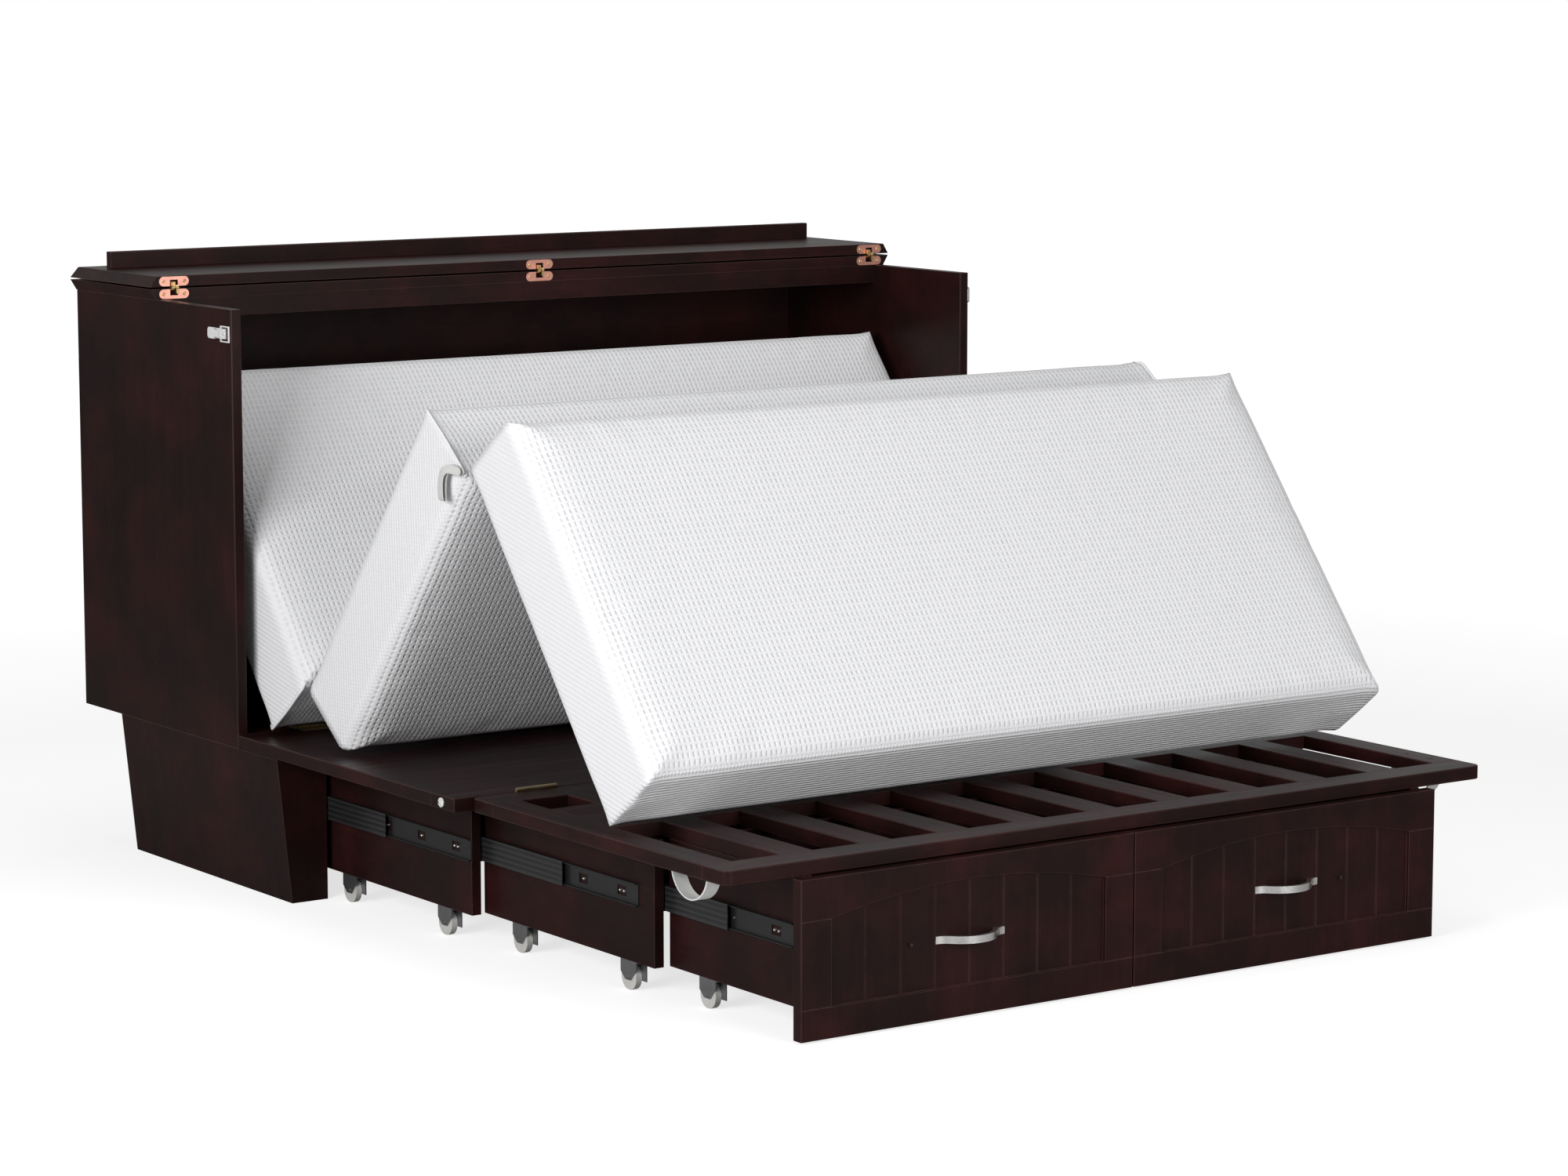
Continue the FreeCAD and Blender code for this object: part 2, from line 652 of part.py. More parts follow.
# ---------------------------------------------------------------- the folding panels
def front_panel():
    """A board whose outer face, now underneath, is panelled like two doors; and its end rail."""
    seam = panel_end + d.end_rail_w
    wide = d.half_width * 2
    tall = -d.front_joint - seam
    panel = upright_board("front_panel", wide, tall, panel_t)
    bevel_along(panel, panel.Tip, Z_AXIS, d.arris)
    for left, right in ((d.stile_w, d.half_width - d.stile_w),
                        (d.half_width + d.stile_w, wide - d.stile_w)):
        beaded_recess(panel, panel_t, left, right, d.bottom_rail_w, tall - d.door_shoulder,
                      d.door_bead_count)
    panel.Placement = FreeCAD.Placement(FreeCAD.Vector(), FreeCAD.Rotation(X_AXIS, 90))
    place(panel, -d.half_width, -d.front_joint, panel_low + panel_t)
    keep(panel)
    keep(board("front_panel_rail", -d.half_width, d.half_width, panel_end, seam,
               panel_low, panel_low + panel_t, Y_AXIS))


def upright_board(label, wide, tall, thick):
    """A board whose back lies in the XZ plane and whose outer face is thick towards -Y."""
    return prism(label, "XZ_Plane", [rectangle(0, wide, 0, tall)], thick)


def beaded_recess(body, thick, left, right, low, shoulder, beads):
    """An arched recess in an upright board's outer face, with V-shaped bead grooves in its floor."""
    half = (right - left) / 2
    arch = (half * half + d.arch_rise * d.arch_rise) / (d.arch_rise * 2)
    outline = [(left, low), (right, low), (right, shoulder, arch), (left, shoulder)]
    pocket(body, new_sketch(body, "XZ_Plane", [outline], offset=thick), d.recess_t)
    floor = d.recess_t - thick
    pitch = (right - left) / (beads + 1)
    for i in range(1, int(beads.value) + 1):
        u = left + pitch * i
        from_middle = u - left - half
        crown = shoulder + d.arch_rise - arch
        top = crown + root(arch * arch - from_middle * from_middle) - d.bead_short
        groove = [(u - d.bead_w / 2, floor), (u + d.bead_w / 2, floor), (u, floor + d.bead_t)]
        pocket(body, new_sketch(body, "XY_Plane", [groove], offset=top), top - low)


def rounded_rail(label, y0, y1, round_front):
    """A rail across the slatted panel with two rounded corners on its outer edge."""
    radius = d.slat_corner
    width = y1 - y0
    if round_front:
        outline = [
            (-slat_x + radius, 0),
            (slat_x - radius, 0, radius),
            (slat_x, radius),
            (slat_x, width),
            (-slat_x, width),
            (-slat_x, radius, radius),
        ]
    else:
        outline = [
            (-slat_x, 0),
            (slat_x, 0),
            (slat_x, width - radius, radius),
            (slat_x - radius, width),
            (-slat_x + radius, width, radius),
            (-slat_x, width - radius),
        ]
    rail = prism(label, "XY_Plane", [outline], panel_t, 0, y0, panel_low)
    bevel_along(rail, rail.Tip, X_AXIS, d.arris)
    return rail


def slat_row(label, y0, y1):
    """The slats of one row, side by side with even slots between them."""
    inner = slat_x - d.slat_side_w
    slot = (inner * 2 - d.slat_w * d.slat_count) / (d.slat_count + 1)
    outline = [
        (0, 0),
        (d.slat_w, 0),
        (d.slat_w, panel_t - d.arris),
        (d.slat_w - d.arris, panel_t),
        (d.arris, panel_t),
        (0, panel_t - d.arris),
    ]
    body = new_body(label)
    slat = pad(body, new_sketch(body, "XZ_Plane", [outline]), y1 - y0)
    row_of(body, slat, "X_Axis", slot + d.slat_w, d.slat_count)
    return place(body, slot - inner, y1, panel_low)


def slat_panel():
    rear = slat_start - d.slat_rear_w
    short = rear - d.short_slot
    cross = short - d.slat_cross_w
    front = slat_end + d.slat_front_w
    keep(rounded_rail("slat_rear_rail", rear, slat_start, False))
    keep(rounded_rail("slat_front_rail", slat_end, front, True))
    inner = slat_x - d.slat_side_w
    keep(board("slat_cross_rail", -inner, inner, cross, short, panel_low, panel_low + panel_t))
    rail = board("slat_side_rail", inner, slat_x, front, rear, panel_low, panel_low + panel_t,
                 Y_AXIS)
    keep(both_sides("slat_side_rails", rail))
    keep(group("slats", slat_row("short_slats", short, rear), slat_row("long_slats", front, cross)))


def knuckle(label, x0, x1, radius, y, z):
    """One barrel segment along X."""
    cylinder = doc.addObject("Part::Cylinder", label)
    cylinder.setExpression("Radius", size(radius).text)
    cylinder.setExpression("Height", (x1 - x0).text)
    cylinder.Placement = FreeCAD.Placement(
        FreeCAD.Vector(0, 0, 0), FreeCAD.Rotation(FreeCAD.Vector(0, 1, 0), 90))
    return place(cylinder, x0, y, z)


def fused(label, *pieces):
    fuse = doc.addObject("Part::MultiFuse", label)
    fuse.Shapes = list(pieces)
    return fuse


def barrel_half(label, middle, length, parts, own, radius, y, z, leaf, tongue):
    """One half of a barrel hinge: its own knuckles, the leaf, and a tongue from leaf to knuckle.

    leaf and tongue are (y0, y1, z0, z1); own lists which of the equal parts of the barrel it has.
    """
    left = middle - length / 2
    step = length / parts
    pieces = [board(label + "_leaf", left, left + length, *leaf)]
    for i in own:
        x0 = left + step * i + d.knuckle_play / 2
        x1 = left + step * (i + 1) - d.knuckle_play / 2
        pieces.append(knuckle("%s_knuckle%d" % (label, i), x0, x1, radius, y, z))
        pieces.append(board("%s_tongue%d" % (label, i), x0, x1, *tongue))
    return fused(label, *pieces)


def barrel_places():
    """The middles of the barrel hinges along a joint."""
    side = d.half_width - d.barrel_in
    return -side, size(0), side


def slat_hinges():
    """Three barrel hinges in the joint between the two folding panels."""
    y = panel_end - d.slat_joint / 2
    leaf_top = axis_z - d.knuckle_r - d.leaf_play
    leaf_low = deck_top - d.leaf_low
    tongue_top = axis_z - d.tongue_low
    fixed = []
    moving = []
    for i, middle in enumerate(barrel_places()):
        near = (panel_end - d.leaf_t, panel_end, leaf_low, leaf_top)
        far = (slat_start, slat_start + d.leaf_t, leaf_low, leaf_top)
        near_tongue = (panel_end - d.leaf_t, panel_end, leaf_top, tongue_top)
        far_tongue = (slat_start, slat_start + d.leaf_t, leaf_top, tongue_top)
        fixed.append(barrel_half("slat_hinge_near%d" % i, middle, d.barrel_len, 3, (0, 2),
                                 d.knuckle_r, y, axis_z, near, near_tongue))
        moving.append(barrel_half("slat_hinge_far%d" % i, middle, d.barrel_len, 3, (1,),
                                  d.knuckle_r, y, axis_z, far, far_tongue))
    keep(group("slat_hinge_far", *moving))
    return fixed


def front_hinges():
    """Three surface hinges between the deck and the front panel."""
    y = d.front_axis
    reach = d.small_knuckle_r + d.leaf_play
    low = deck_top
    high = deck_top + d.small_leaf_t
    fixed = []
    moving = []
    for i, middle in enumerate(barrel_places()):
        near = (y + reach, y + d.small_leaf_w, low, high)
        far = (y - d.small_leaf_w - reach, y - reach, low, high)
        near_tongue = (y, y + reach, low, high)
        far_tongue = (y - reach, y, low, high)
        fixed.append(barrel_half("front_hinge_fixed%d" % i, middle, d.barrel_len, 3, (0, 2),
                                 d.small_knuckle_r, y, axis_z, near, near_tongue))
        moving.append(barrel_half("front_hinge_moving%d" % i, middle, d.barrel_len, 3, (1,),
                                  d.small_knuckle_r, y, axis_z, far, far_tongue))
    keep(group("front_hinge_fixed", *fixed))
    return moving


def pull_straps():
    """Soft U-shaped loops under the slatted panel's side rails."""
    front = slat_end + d.strap_front
    back = front + d.strap_span
    drop = d.strap_drop
    radius = d.strap_span / 2
    thick = d.strap_t
    outer = (radius * radius + drop * drop) / (drop * 2)
    inner_half = radius - thick * 2
    inner_drop = drop - thick
    inner = (inner_half * inner_half + inner_drop * inner_drop) / (inner_drop * 2)
    outline = [
        (-radius, 0, outer),
        (radius, 0),
        (inner_half, 0, -inner),
        (-inner_half, 0),
    ]
    right = prism("pull_strap", "YZ_Plane", [outline], d.strap_w,
                  slat_x - d.strap_in - d.strap_w / 2, (front + back) / 2, panel_low)
    keep(both_sides("pull_straps", right))


# ---------------------------------------------------------------- the sliding sections
section_x = [plinth_x - d.slide_gap]
for _ in range(2):
    section_x.append(section_x[-1] - d.board_t - d.slide_gap)


def section(number, front, rear):
    """Two side boards joined by a cross board at the rear."""
    outer = section_x[number - 1]
    inner = outer - d.board_t
    side = board("s%d_side" % number, inner, outer, -front, -rear, d.section_floor, section_top)
    keep(both_sides("s%d_sides" % number, side))
    keep(board("s%d_rear" % number, -inner, inner, -rear - d.section_rear_t, -rear,
               d.section_floor, section_top))


def drawer():
    inner = section_x[2] - d.board_t
    low = d.section_floor + d.bottom_rise
    keep(board("s3_bottom", -inner, inner, -front3, -rear3 - d.section_rear_t,
               low, low + d.bottom_t))


def drawer_front():
    """A panel with an arched, beaded recess and the joint lines of its frame."""
    x0 = d.drawer_middle_gap / 2
    x1 = plinth_x - d.drawer_side_gap
    wide = x1 - x0
    tall = d.base_height - d.drawer_top_gap - d.drawer_low
    body = upright_board("drawer_front_right", wide, tall, d.drawer_t)
    bevel_along(body, body.Tip, Z_AXIS, d.arris)
    right = wide - d.stile_w
    shoulder = tall - d.top_rail_w
    beaded_recess(body, d.drawer_t, d.stile_w, right, d.bottom_rail_w, shoulder, d.bead_count)
    half_line = d.frame_line_w / 2
    lines = []
    for v in (d.bottom_rail_w, shoulder):
        lines.append(rectangle(0, d.stile_w, v - half_line, v + half_line))
        lines.append(rectangle(right, wide, v - half_line, v + half_line))
    pocket(body, new_sketch(body, "XZ_Plane", lines, offset=d.drawer_t), d.frame_line_t)
    place(body, x0, -front3, d.drawer_low)
    keep(body)
    keep(mirrored("drawer_front_left", body))
    return (x0 + x1) / 2, d.drawer_low + tall / 2


def handles(x, z):
    """Bowed pulls: each foot lies flat, then sweeps out into an arched bar without a break."""
    half = d.handle_len / 2
    bow = half - d.handle_foot
    out = d.handle_out + d.recess_t
    sweep = (out - d.handle_tip) * d.handle_foot / half
    foot_arc = (d.handle_foot * d.handle_foot + sweep * sweep) / (sweep * 2)
    rise = out - d.handle_tip - sweep
    crown_arc = (bow * bow + rise * rise) / (rise * 2)
    inner_rise = out - d.handle_bar
    inner_arc = (bow * bow + inner_rise * inner_rise) / (inner_rise * 2)
    shoulder = -d.handle_tip - sweep
    outline = [
        (-half, 0),
        (-half, -d.handle_tip, -foot_arc),
        (-bow, shoulder, crown_arc),
        (bow, shoulder, -foot_arc),
        (half, -d.handle_tip),
        (half, 0),
        (bow, 0, -inner_arc),
        (-bow, 0),
    ]
    right = prism("handle", "XY_Plane", [outline], d.handle_tall,
                  x, d.recess_t - front3 - d.drawer_t, z - d.handle_tall / 2)
    keep(both_sides("handles", right))


def channel(label, side, lip, half_h, x, y_front, y_back, groove=False):
    """One slide member: a C-shaped channel whose web lies at x; side is where its lips point.

    groove is for a shallow groove along the web's outer face.
    """
    metal = d.slide_metal
    lip_end = lip * side
    web_in = metal * side
    outline = [
        (0, -half_h),
        (lip_end, -half_h),
        (lip_end, metal - half_h),
        (web_in, metal - half_h),
        (web_in, half_h - metal),
        (lip_end, half_h - metal),
        (lip_end, half_h),
        (0, half_h),
    ]
    if groove:
        floor = d.groove_t * side
        outline += [
            (0, d.groove_half_w),
            (floor, d.groove_half_w),
            (floor, -d.groove_half_w),
            (0, -d.groove_half_w),
        ]
    return prism(label, "XZ_Plane", [outline], y_back - y_front, x, y_back, slide_z)


def cut_windows(member, length, count):
    """Openings through an inner member's web, in a row from its front end."""
    windows = []
    for i in range(count):
        middle = d.window_first + d.window_pitch * i - length
        windows.append(rectangle(middle - d.window_w / 2, middle + d.window_w / 2,
                                 -d.window_half_h, d.window_half_h))
    pocket(member, new_sketch(member, "YZ_Plane", windows, offset=d.slide_metal), d.slide_metal)


def slides(number, face_x, outer_y, mid_y, inner_y, windows, outer_label, inner_label):
    """Three nested channels on each side between two boards; face_x is the outer board's face."""
    mid_half = d.slide_half_h - d.slide_metal - d.slide_run
    inner_half = mid_half - d.slide_metal - d.slide_run
    outer = channel(outer_label + "_one", -1, d.outer_lip, d.slide_half_h, face_x, *outer_y)
    middle = channel("slide_mid_%d_one" % number, -1, d.mid_lip, mid_half, face_x - d.mid_in,
                     *mid_y, groove=True)
    inner = channel(inner_label + "_one", 1, d.inner_lip, inner_half,
                    face_x - d.slide_gap, *inner_y)
    cut_windows(inner, inner_y[1] - inner_y[0], windows)
    keep(both_sides(outer_label, outer))
    keep(both_sides("slide_mid_%d" % number, middle))
    keep(both_sides(inner_label, inner))


def all_slides():
    """The slides under the cabinet, in section 1 and in section 2."""
    outer1 = (d.outer1_in - d.plinth_front, d.plinth_back - d.outer1_back)
    outer2 = (d.outer_in - front1, -rear1 - d.outer_back)
    outer3 = (d.outer_in - front2, -rear2 - d.outer_back)
    mid1 = outer1[0] - d.mid1_ahead
    mid2 = outer2[0] - d.mid2_ahead
    mid3 = outer3[0] - d.mid3_ahead
    inner1 = (-front1, -rear1 - d.inner_back)
    inner2 = (d.inner2_in - front2, -rear2 - d.outer_back)
    inner3 = (d.inner3_in - front3, -rear3 - d.inner3_back)
    slides(1, plinth_x, outer1, (mid1, mid1 + d.mid1_len), inner1, 3,
           "slide1_outer", "s1_slide_inner")
    slides(2, section_x[0] - d.board_t, outer2, (mid2, mid2 + d.mid2_len), inner2, 2,
           "s2_slide_outer", "s2_slide_inner")
    slides(3, section_x[1] - d.board_t, outer3, (mid3, mid3 + d.mid3_len), inner3, 1,
           "s3_slide_outer", "s3_slide_inner")


def bracket(label, x, y):
    """A caster bracket under a side board; x is the wheel's middle.

    The outer cheek is D-shaped and shows the riveted end of the axle. The inner one is a plain
    flange that reaches further ahead.
    """
    inner = d.wheel_w / 2 + d.bracket_gap
    outer = inner + d.bracket_t
    top = d.section_floor - d.bracket_t
    tall = top - d.bracket_low
    plate = board(label + "_plate", x - outer, x + outer, y - d.flange_front, y + d.cheek_rear,
                  top, d.section_floor)
    cheek_loop = [
        (-d.cheek_front, tall),
        (-d.cheek_front, tall - d.cheek_heel),
        (-d.cheek_toe, 0),
        (d.cheek_toe, 0),
        (d.cheek_rear, d.cheek_heel),
        (d.cheek_rear, tall),
    ]
    cheek = prism(label + "_cheek", "YZ_Plane", [cheek_loop], d.bracket_t,
                  x + inner, y, d.bracket_low)
    flange = board(label + "_flange", x - outer, x - inner, y - d.flange_front,
                   y + d.flange_rear, d.bracket_low, top)
    rivet = knuckle(label + "_rivet", x + outer, x + outer + d.rivet_out, d.rivet_r, y, d.wheel_r)
    return fused(label, plate, cheek, flange, rivet)


def wheel(label, x, y):
    """A solid wheel: its bore and axle lie hidden between the bracket's cheeks."""
    circles = [(0, 0, d.wheel_r)]
    return prism(label, "YZ_Plane", [], d.wheel_w, x - d.wheel_w / 2, y, d.wheel_r, circles)


def casters():
    spots = (
        (1, "rear", -rear1 - d.caster_rear),
        (1, "front", -front1 + d.caster_front),
        (2, "rear", -rear2 - d.caster_rear + d.caster_shift),
        (2, "front", -front2 + d.caster_front - d.caster_shift),
        (3, "rear", -rear3 - d.caster_last),
    )
    brackets = {1: [], 2: [], 3: []}
    for number, end, y in spots:
        name = "s%d_%s" % (number, end)
        x = section_x[number - 1] - d.board_t / 2 - d.caster_in
        brackets[number].append(bracket(name + "_bracket", x, y))
        keep(both_sides(name + "_wheels", wheel(name + "_wheel", x, y)))
    for number, items in brackets.items():
        mirrors = [mirrored(item.Label + "_mirror", item) for item in items]
        keep(group("s%d_caster_brackets" % number, *items, *mirrors))


# ---------------------------------------------------------------- the latches
def latches():
    """A base plate, a lever and a wire loop on each side, and keepers on the front panel."""
    x = d.half_width
    plate = board("latch_plate", x, x + d.latch_plate_t, d.latch_front, d.latch_back,
                  latch_z - d.latch_half_h, latch_z + d.latch_half_h)
    keep(both_sides("latch_bases", plate))
    lever_x = x + d.latch_plate_t + d.latch_run
    neck = d.lever_neck_half_h
    knob = d.lever_half_h
    corner = d.lever_corner
    outline = [
        (-d.lever_heel, -neck),
        (d.lever_neck_len, -neck),
        (d.lever_neck_len + corner, -knob),
        (d.lever_len - corner, -knob),
        (d.lever_len, corner - knob),
        (d.lever_len, knob - corner),
        (d.lever_len - corner, knob),
        (d.lever_neck_len + corner, knob),
        (d.lever_neck_len, neck),
        (-d.lever_heel, neck),
    ]
    lever = prism("latch_lever_right", "YZ_Plane", [outline], d.lever_t,
                  lever_x, d.lever_axis, latch_z)
    keep(lever)
    keep(mirrored("latch_lever_left", lever))
    front = d.loop_axis - d.loop_len
    outer = rectangle(front, d.loop_axis + d.wire / 2, -d.loop_half_h, d.loop_half_h)
    inner_half = d.loop_half_h - d.wire
    inner = rectangle(front + d.wire, d.loop_axis - d.wire / 2, -inner_half, inner_half)
    loop = prism("latch_loop_right", "YZ_Plane", [outer, inner], d.wire, lever_x, 0, latch_z)
    keep(loop)
    keep(mirrored("latch_loop_left", loop))
    keeper_y = panel_end + d.keeper_from_end
    keeper_z = panel_low + panel_t / 2
    disc = prism("keeper_disc", "YZ_Plane", [], d.keeper_t, x, keeper_y, keeper_z,
                 [(0, 0, d.keeper_r)])
    hook = board("keeper_hook", x + d.keeper_t, x + d.keeper_t + d.hook_out,
                 keeper_y - d.hook_w / 2, keeper_y + d.hook_w / 2,
                 keeper_z - d.hook_h / 2, keeper_z + d.hook_h / 2)
    keep(both_sides("latch_keepers", fused("latch_keeper", disc, hook)))


# ---------------------------------------------------------------- the mattress
def slanted_pad(label, foot_y, foot_z, along, across):
    """A mattress part as a leaning slab: along and across are unit vectors from its corner."""
    skin = d.pad_skin
    corners = []
    for run, deep in ((skin, skin), (d.pad_len - skin, skin),
                      (d.pad_len - skin, d.pad_t - skin), (skin, d.pad_t - skin)):
        corners.append((along[0] * run + across[0] * deep, along[1] * run + across[1] * deep))
    return prism(label, "YZ_Plane", [corners], pad_half * 2, -pad_half, foot_y, foot_z)


def mattress():
    """Three parts in a zigzag: the middle one leans forward from the front panel."""
    lean_c = cosine(d.pad_lean)
    lean_s = sine(d.pad_lean)
    floor_z = deck_top + d.pad_lift
    foot = (-d.pad_foot, floor_z)
    fold = (foot[0] - lean_c * d.pad_len, foot[1] + lean_s * d.pad_len)
    keep(slanted_pad("mattress_middle", *foot, (-lean_c, lean_s), (lean_s, lean_c)))
    keep(slanted_pad("mattress_front", *fold, (-lean_c, -lean_s), (-lean_s, lean_c)))
    heel = (foot[0] + lean_s * d.pad_t, foot[1] + lean_c * d.pad_t)
    keep(slanted_pad("mattress_rear", *heel, (lean_c, lean_s), (lean_s, -lean_c)))


# ---------------------------------------------------------------- build, check, write
def build():
    side_panels()
    plinths()
    carcass()
    tops()
    lid_hinges()
    front_panel()
    slat_panel()
    keep(group("front_panel_hinges", *front_hinges(), *slat_hinges()))
    pull_straps()
    section(1, front1, rear1)
    section(2, front2, rear2)
    section(3, front3, rear3)
    drawer()
    handles(*drawer_front())
    all_slides()
    casters()
    latches()
    mattress()


def check():
    doc.recompute()
    for item in doc.Objects:
        if "Invalid" in item.State or "Error" in item.State:
            raise RuntimeError("%s is %s" % (item.Label, item.State))
    for item in nodes:
        if item.Shape.isNull() or not item.Shape.isValid() or not item.Shape.Solids:
            raise RuntimeError("%s has no sound shape" % item.Label)


def write():
    for item in nodes:
        item.Shape.exportStep("parts/%s.step" % item.Label)
    print("%d nodes" % len(nodes))


build()
check()
write()
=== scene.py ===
"""The finish, soft goods and small fittings of an opened-out cabinet bed, in metres."""
import bpy
import bmesh
import math
from bpy.props import FloatProperty, FloatVectorProperty, IntProperty, PointerProperty
from mathutils import Matrix, Vector


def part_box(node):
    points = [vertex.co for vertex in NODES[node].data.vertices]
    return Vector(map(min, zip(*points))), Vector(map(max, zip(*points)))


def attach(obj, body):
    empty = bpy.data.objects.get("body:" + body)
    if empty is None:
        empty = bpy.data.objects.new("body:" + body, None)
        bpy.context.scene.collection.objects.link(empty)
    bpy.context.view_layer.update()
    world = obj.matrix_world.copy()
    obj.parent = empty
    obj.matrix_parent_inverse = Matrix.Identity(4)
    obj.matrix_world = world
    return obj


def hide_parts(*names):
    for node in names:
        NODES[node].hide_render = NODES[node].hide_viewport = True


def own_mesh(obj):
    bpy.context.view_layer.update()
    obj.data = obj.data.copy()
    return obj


bl_info = {
    "name": "Cabinet Bed",
    "version": (1, 0, 0),
    "blender": (4, 5, 0),
    "location": "View3D > Sidebar > Cabinet Bed",
    "description": "Finishes the cabinet, folding panels, mattress, slides and casters",
    "category": "Object",
}

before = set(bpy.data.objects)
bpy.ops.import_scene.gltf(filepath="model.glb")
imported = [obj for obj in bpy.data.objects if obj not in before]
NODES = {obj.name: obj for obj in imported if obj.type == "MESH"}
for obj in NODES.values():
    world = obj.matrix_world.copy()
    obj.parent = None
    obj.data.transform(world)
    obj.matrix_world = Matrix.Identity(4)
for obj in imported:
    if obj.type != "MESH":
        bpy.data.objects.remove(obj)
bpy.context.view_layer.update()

DARK_BOARDS = (
    "side_panel_left", "side_panel_right", "plinth_left", "plinth_right", "plinth_rear", "deck",
    "back_panel", "top_rail", "top_fixed", "lid_panel", "lid_cleat", "front_panel",
    "front_panel_rail", "slat_rear_rail", "slat_front_rail", "slat_cross_rail",
    "slat_side_rails", "slats", "s1_sides", "s2_sides", "s3_sides", "s1_rear", "s2_rear",
    "s3_rear", "s3_bottom", "drawer_front_left", "drawer_front_right",
)
UPRIGHT_BOARDS = (
    "side_panel_left", "side_panel_right", "plinth_left", "plinth_right",
    "drawer_front_left", "drawer_front_right",
)
LENGTHWISE_BOARDS = ("slat_side_rails", "slats", "s1_sides", "s2_sides", "s3_sides")
BRASS_NODES = ("front_hinge_fixed", "front_panel_hinges", "slat_hinge_far")
OUTER_SLIDES = (
    "slide1_outer", "s2_slide_outer", "s3_slide_outer", "slide_mid_1", "slide_mid_2",
    "slide_mid_3",
)
INNER_SLIDES = ("s1_slide_inner", "s2_slide_inner", "s3_slide_inner")
BRACKET_NODES = ("s1_caster_brackets", "s2_caster_brackets", "s3_caster_brackets")
WHEEL_NODES = (
    "s1_rear_wheels", "s1_front_wheels", "s2_rear_wheels", "s2_front_wheels", "s3_rear_wheels",
)
LATCH_NODES = (
    "latch_bases", "latch_lever_left", "latch_lever_right", "latch_loop_left",
    "latch_loop_right", "latch_keepers",
)
# each part, and which of its short faces no fold joins
MATTRESS_PARTS = (("mattress_front", -1), ("mattress_middle", 0), ("mattress_rear", 1))
# shares of a screw head's radius, and of its rise for the socket
SCREW_TOP = 0.78
SCREW_RIM = 0.36
SCREW_SOCKET = 0.7
# shares of a dark hole's radius
HOLE_TOP = 0.86
HOLE_EDGE = 0.3
KNIT_WRAP = 1.35  # how far the wide faces' knit reaches round the edges
SEAM_SEARCH = 0.02  # an end's rim belongs to a short face within this distance of it
SAME_POINT = 1e-6  # points nearer than this are one point
CUT_WIDTH = 1e-5  # points nearer than this to a cut lie on it
# each softbox's name, its place, what it is aimed at and its size
SOFTBOXES = (
    ("key", (-4.9, -1.9, 1.9), (0, -0.3, 0.5), 2.4),
    ("front", (0.2, -5.4, 1.5), (0, -0.5, 0.5), 2.2),
    ("top", (0.4, 0.3, 4.4), (0, 0.0, 0.4), 2.6),
)


# ---------------------------------------------------------------- properties
def colour(name, description, value):
    return FloatVectorProperty(name=name, description=description, subtype="COLOR", size=3,
                               min=0, max=1, default=value)


def length(name, description, value):
    return FloatProperty(name=name, description=description, unit="LENGTH", default=value)


class WoodProperties(bpy.types.PropertyGroup):
    """The espresso stain."""
    dark: colour("Stain", "The darkest tone of the stain", (0.0125, 0.0047, 0.0045))
    red: colour("Red", "The reddish tone where the stain is thin", (0.034, 0.0088, 0.0078))
    # painted highlight: this lighter edge colour is partly worn stain and partly painted highlight
    # standing in for the light the arrises catch
    worn_and_highlight: colour("Worn", "Where the stain is rubbed thin along the edges", (0.13, 0.070, 0.060))
    roughness: FloatProperty(name="Roughness", description="How matt the stain is", default=0.38)
    arris: length("Arris", "Rounding of the edges in the shading", 0.0018)
    mottle: length("Mottle", "Size of the blotches in the stain", 0.16)
    streaks: FloatProperty(name="Streaks", description="How fine the streaks are", default=42)
    pores: FloatProperty(name="Pores", description="How fine the pores are", default=170)
    drawn_out: FloatProperty(name="Grain", description="Scale of the pattern along the board",
                             default=0.06)
    coat: FloatProperty(name="Lacquer", description="Weight of the clear coat", default=0.03)
    coat_roughness: FloatProperty(name="Lacquer roughness", description="How matt the clear "
                                  "coat is", default=0.26)
    specular: FloatProperty(name="Specular", description="Mirror level of the stain", default=0.11)


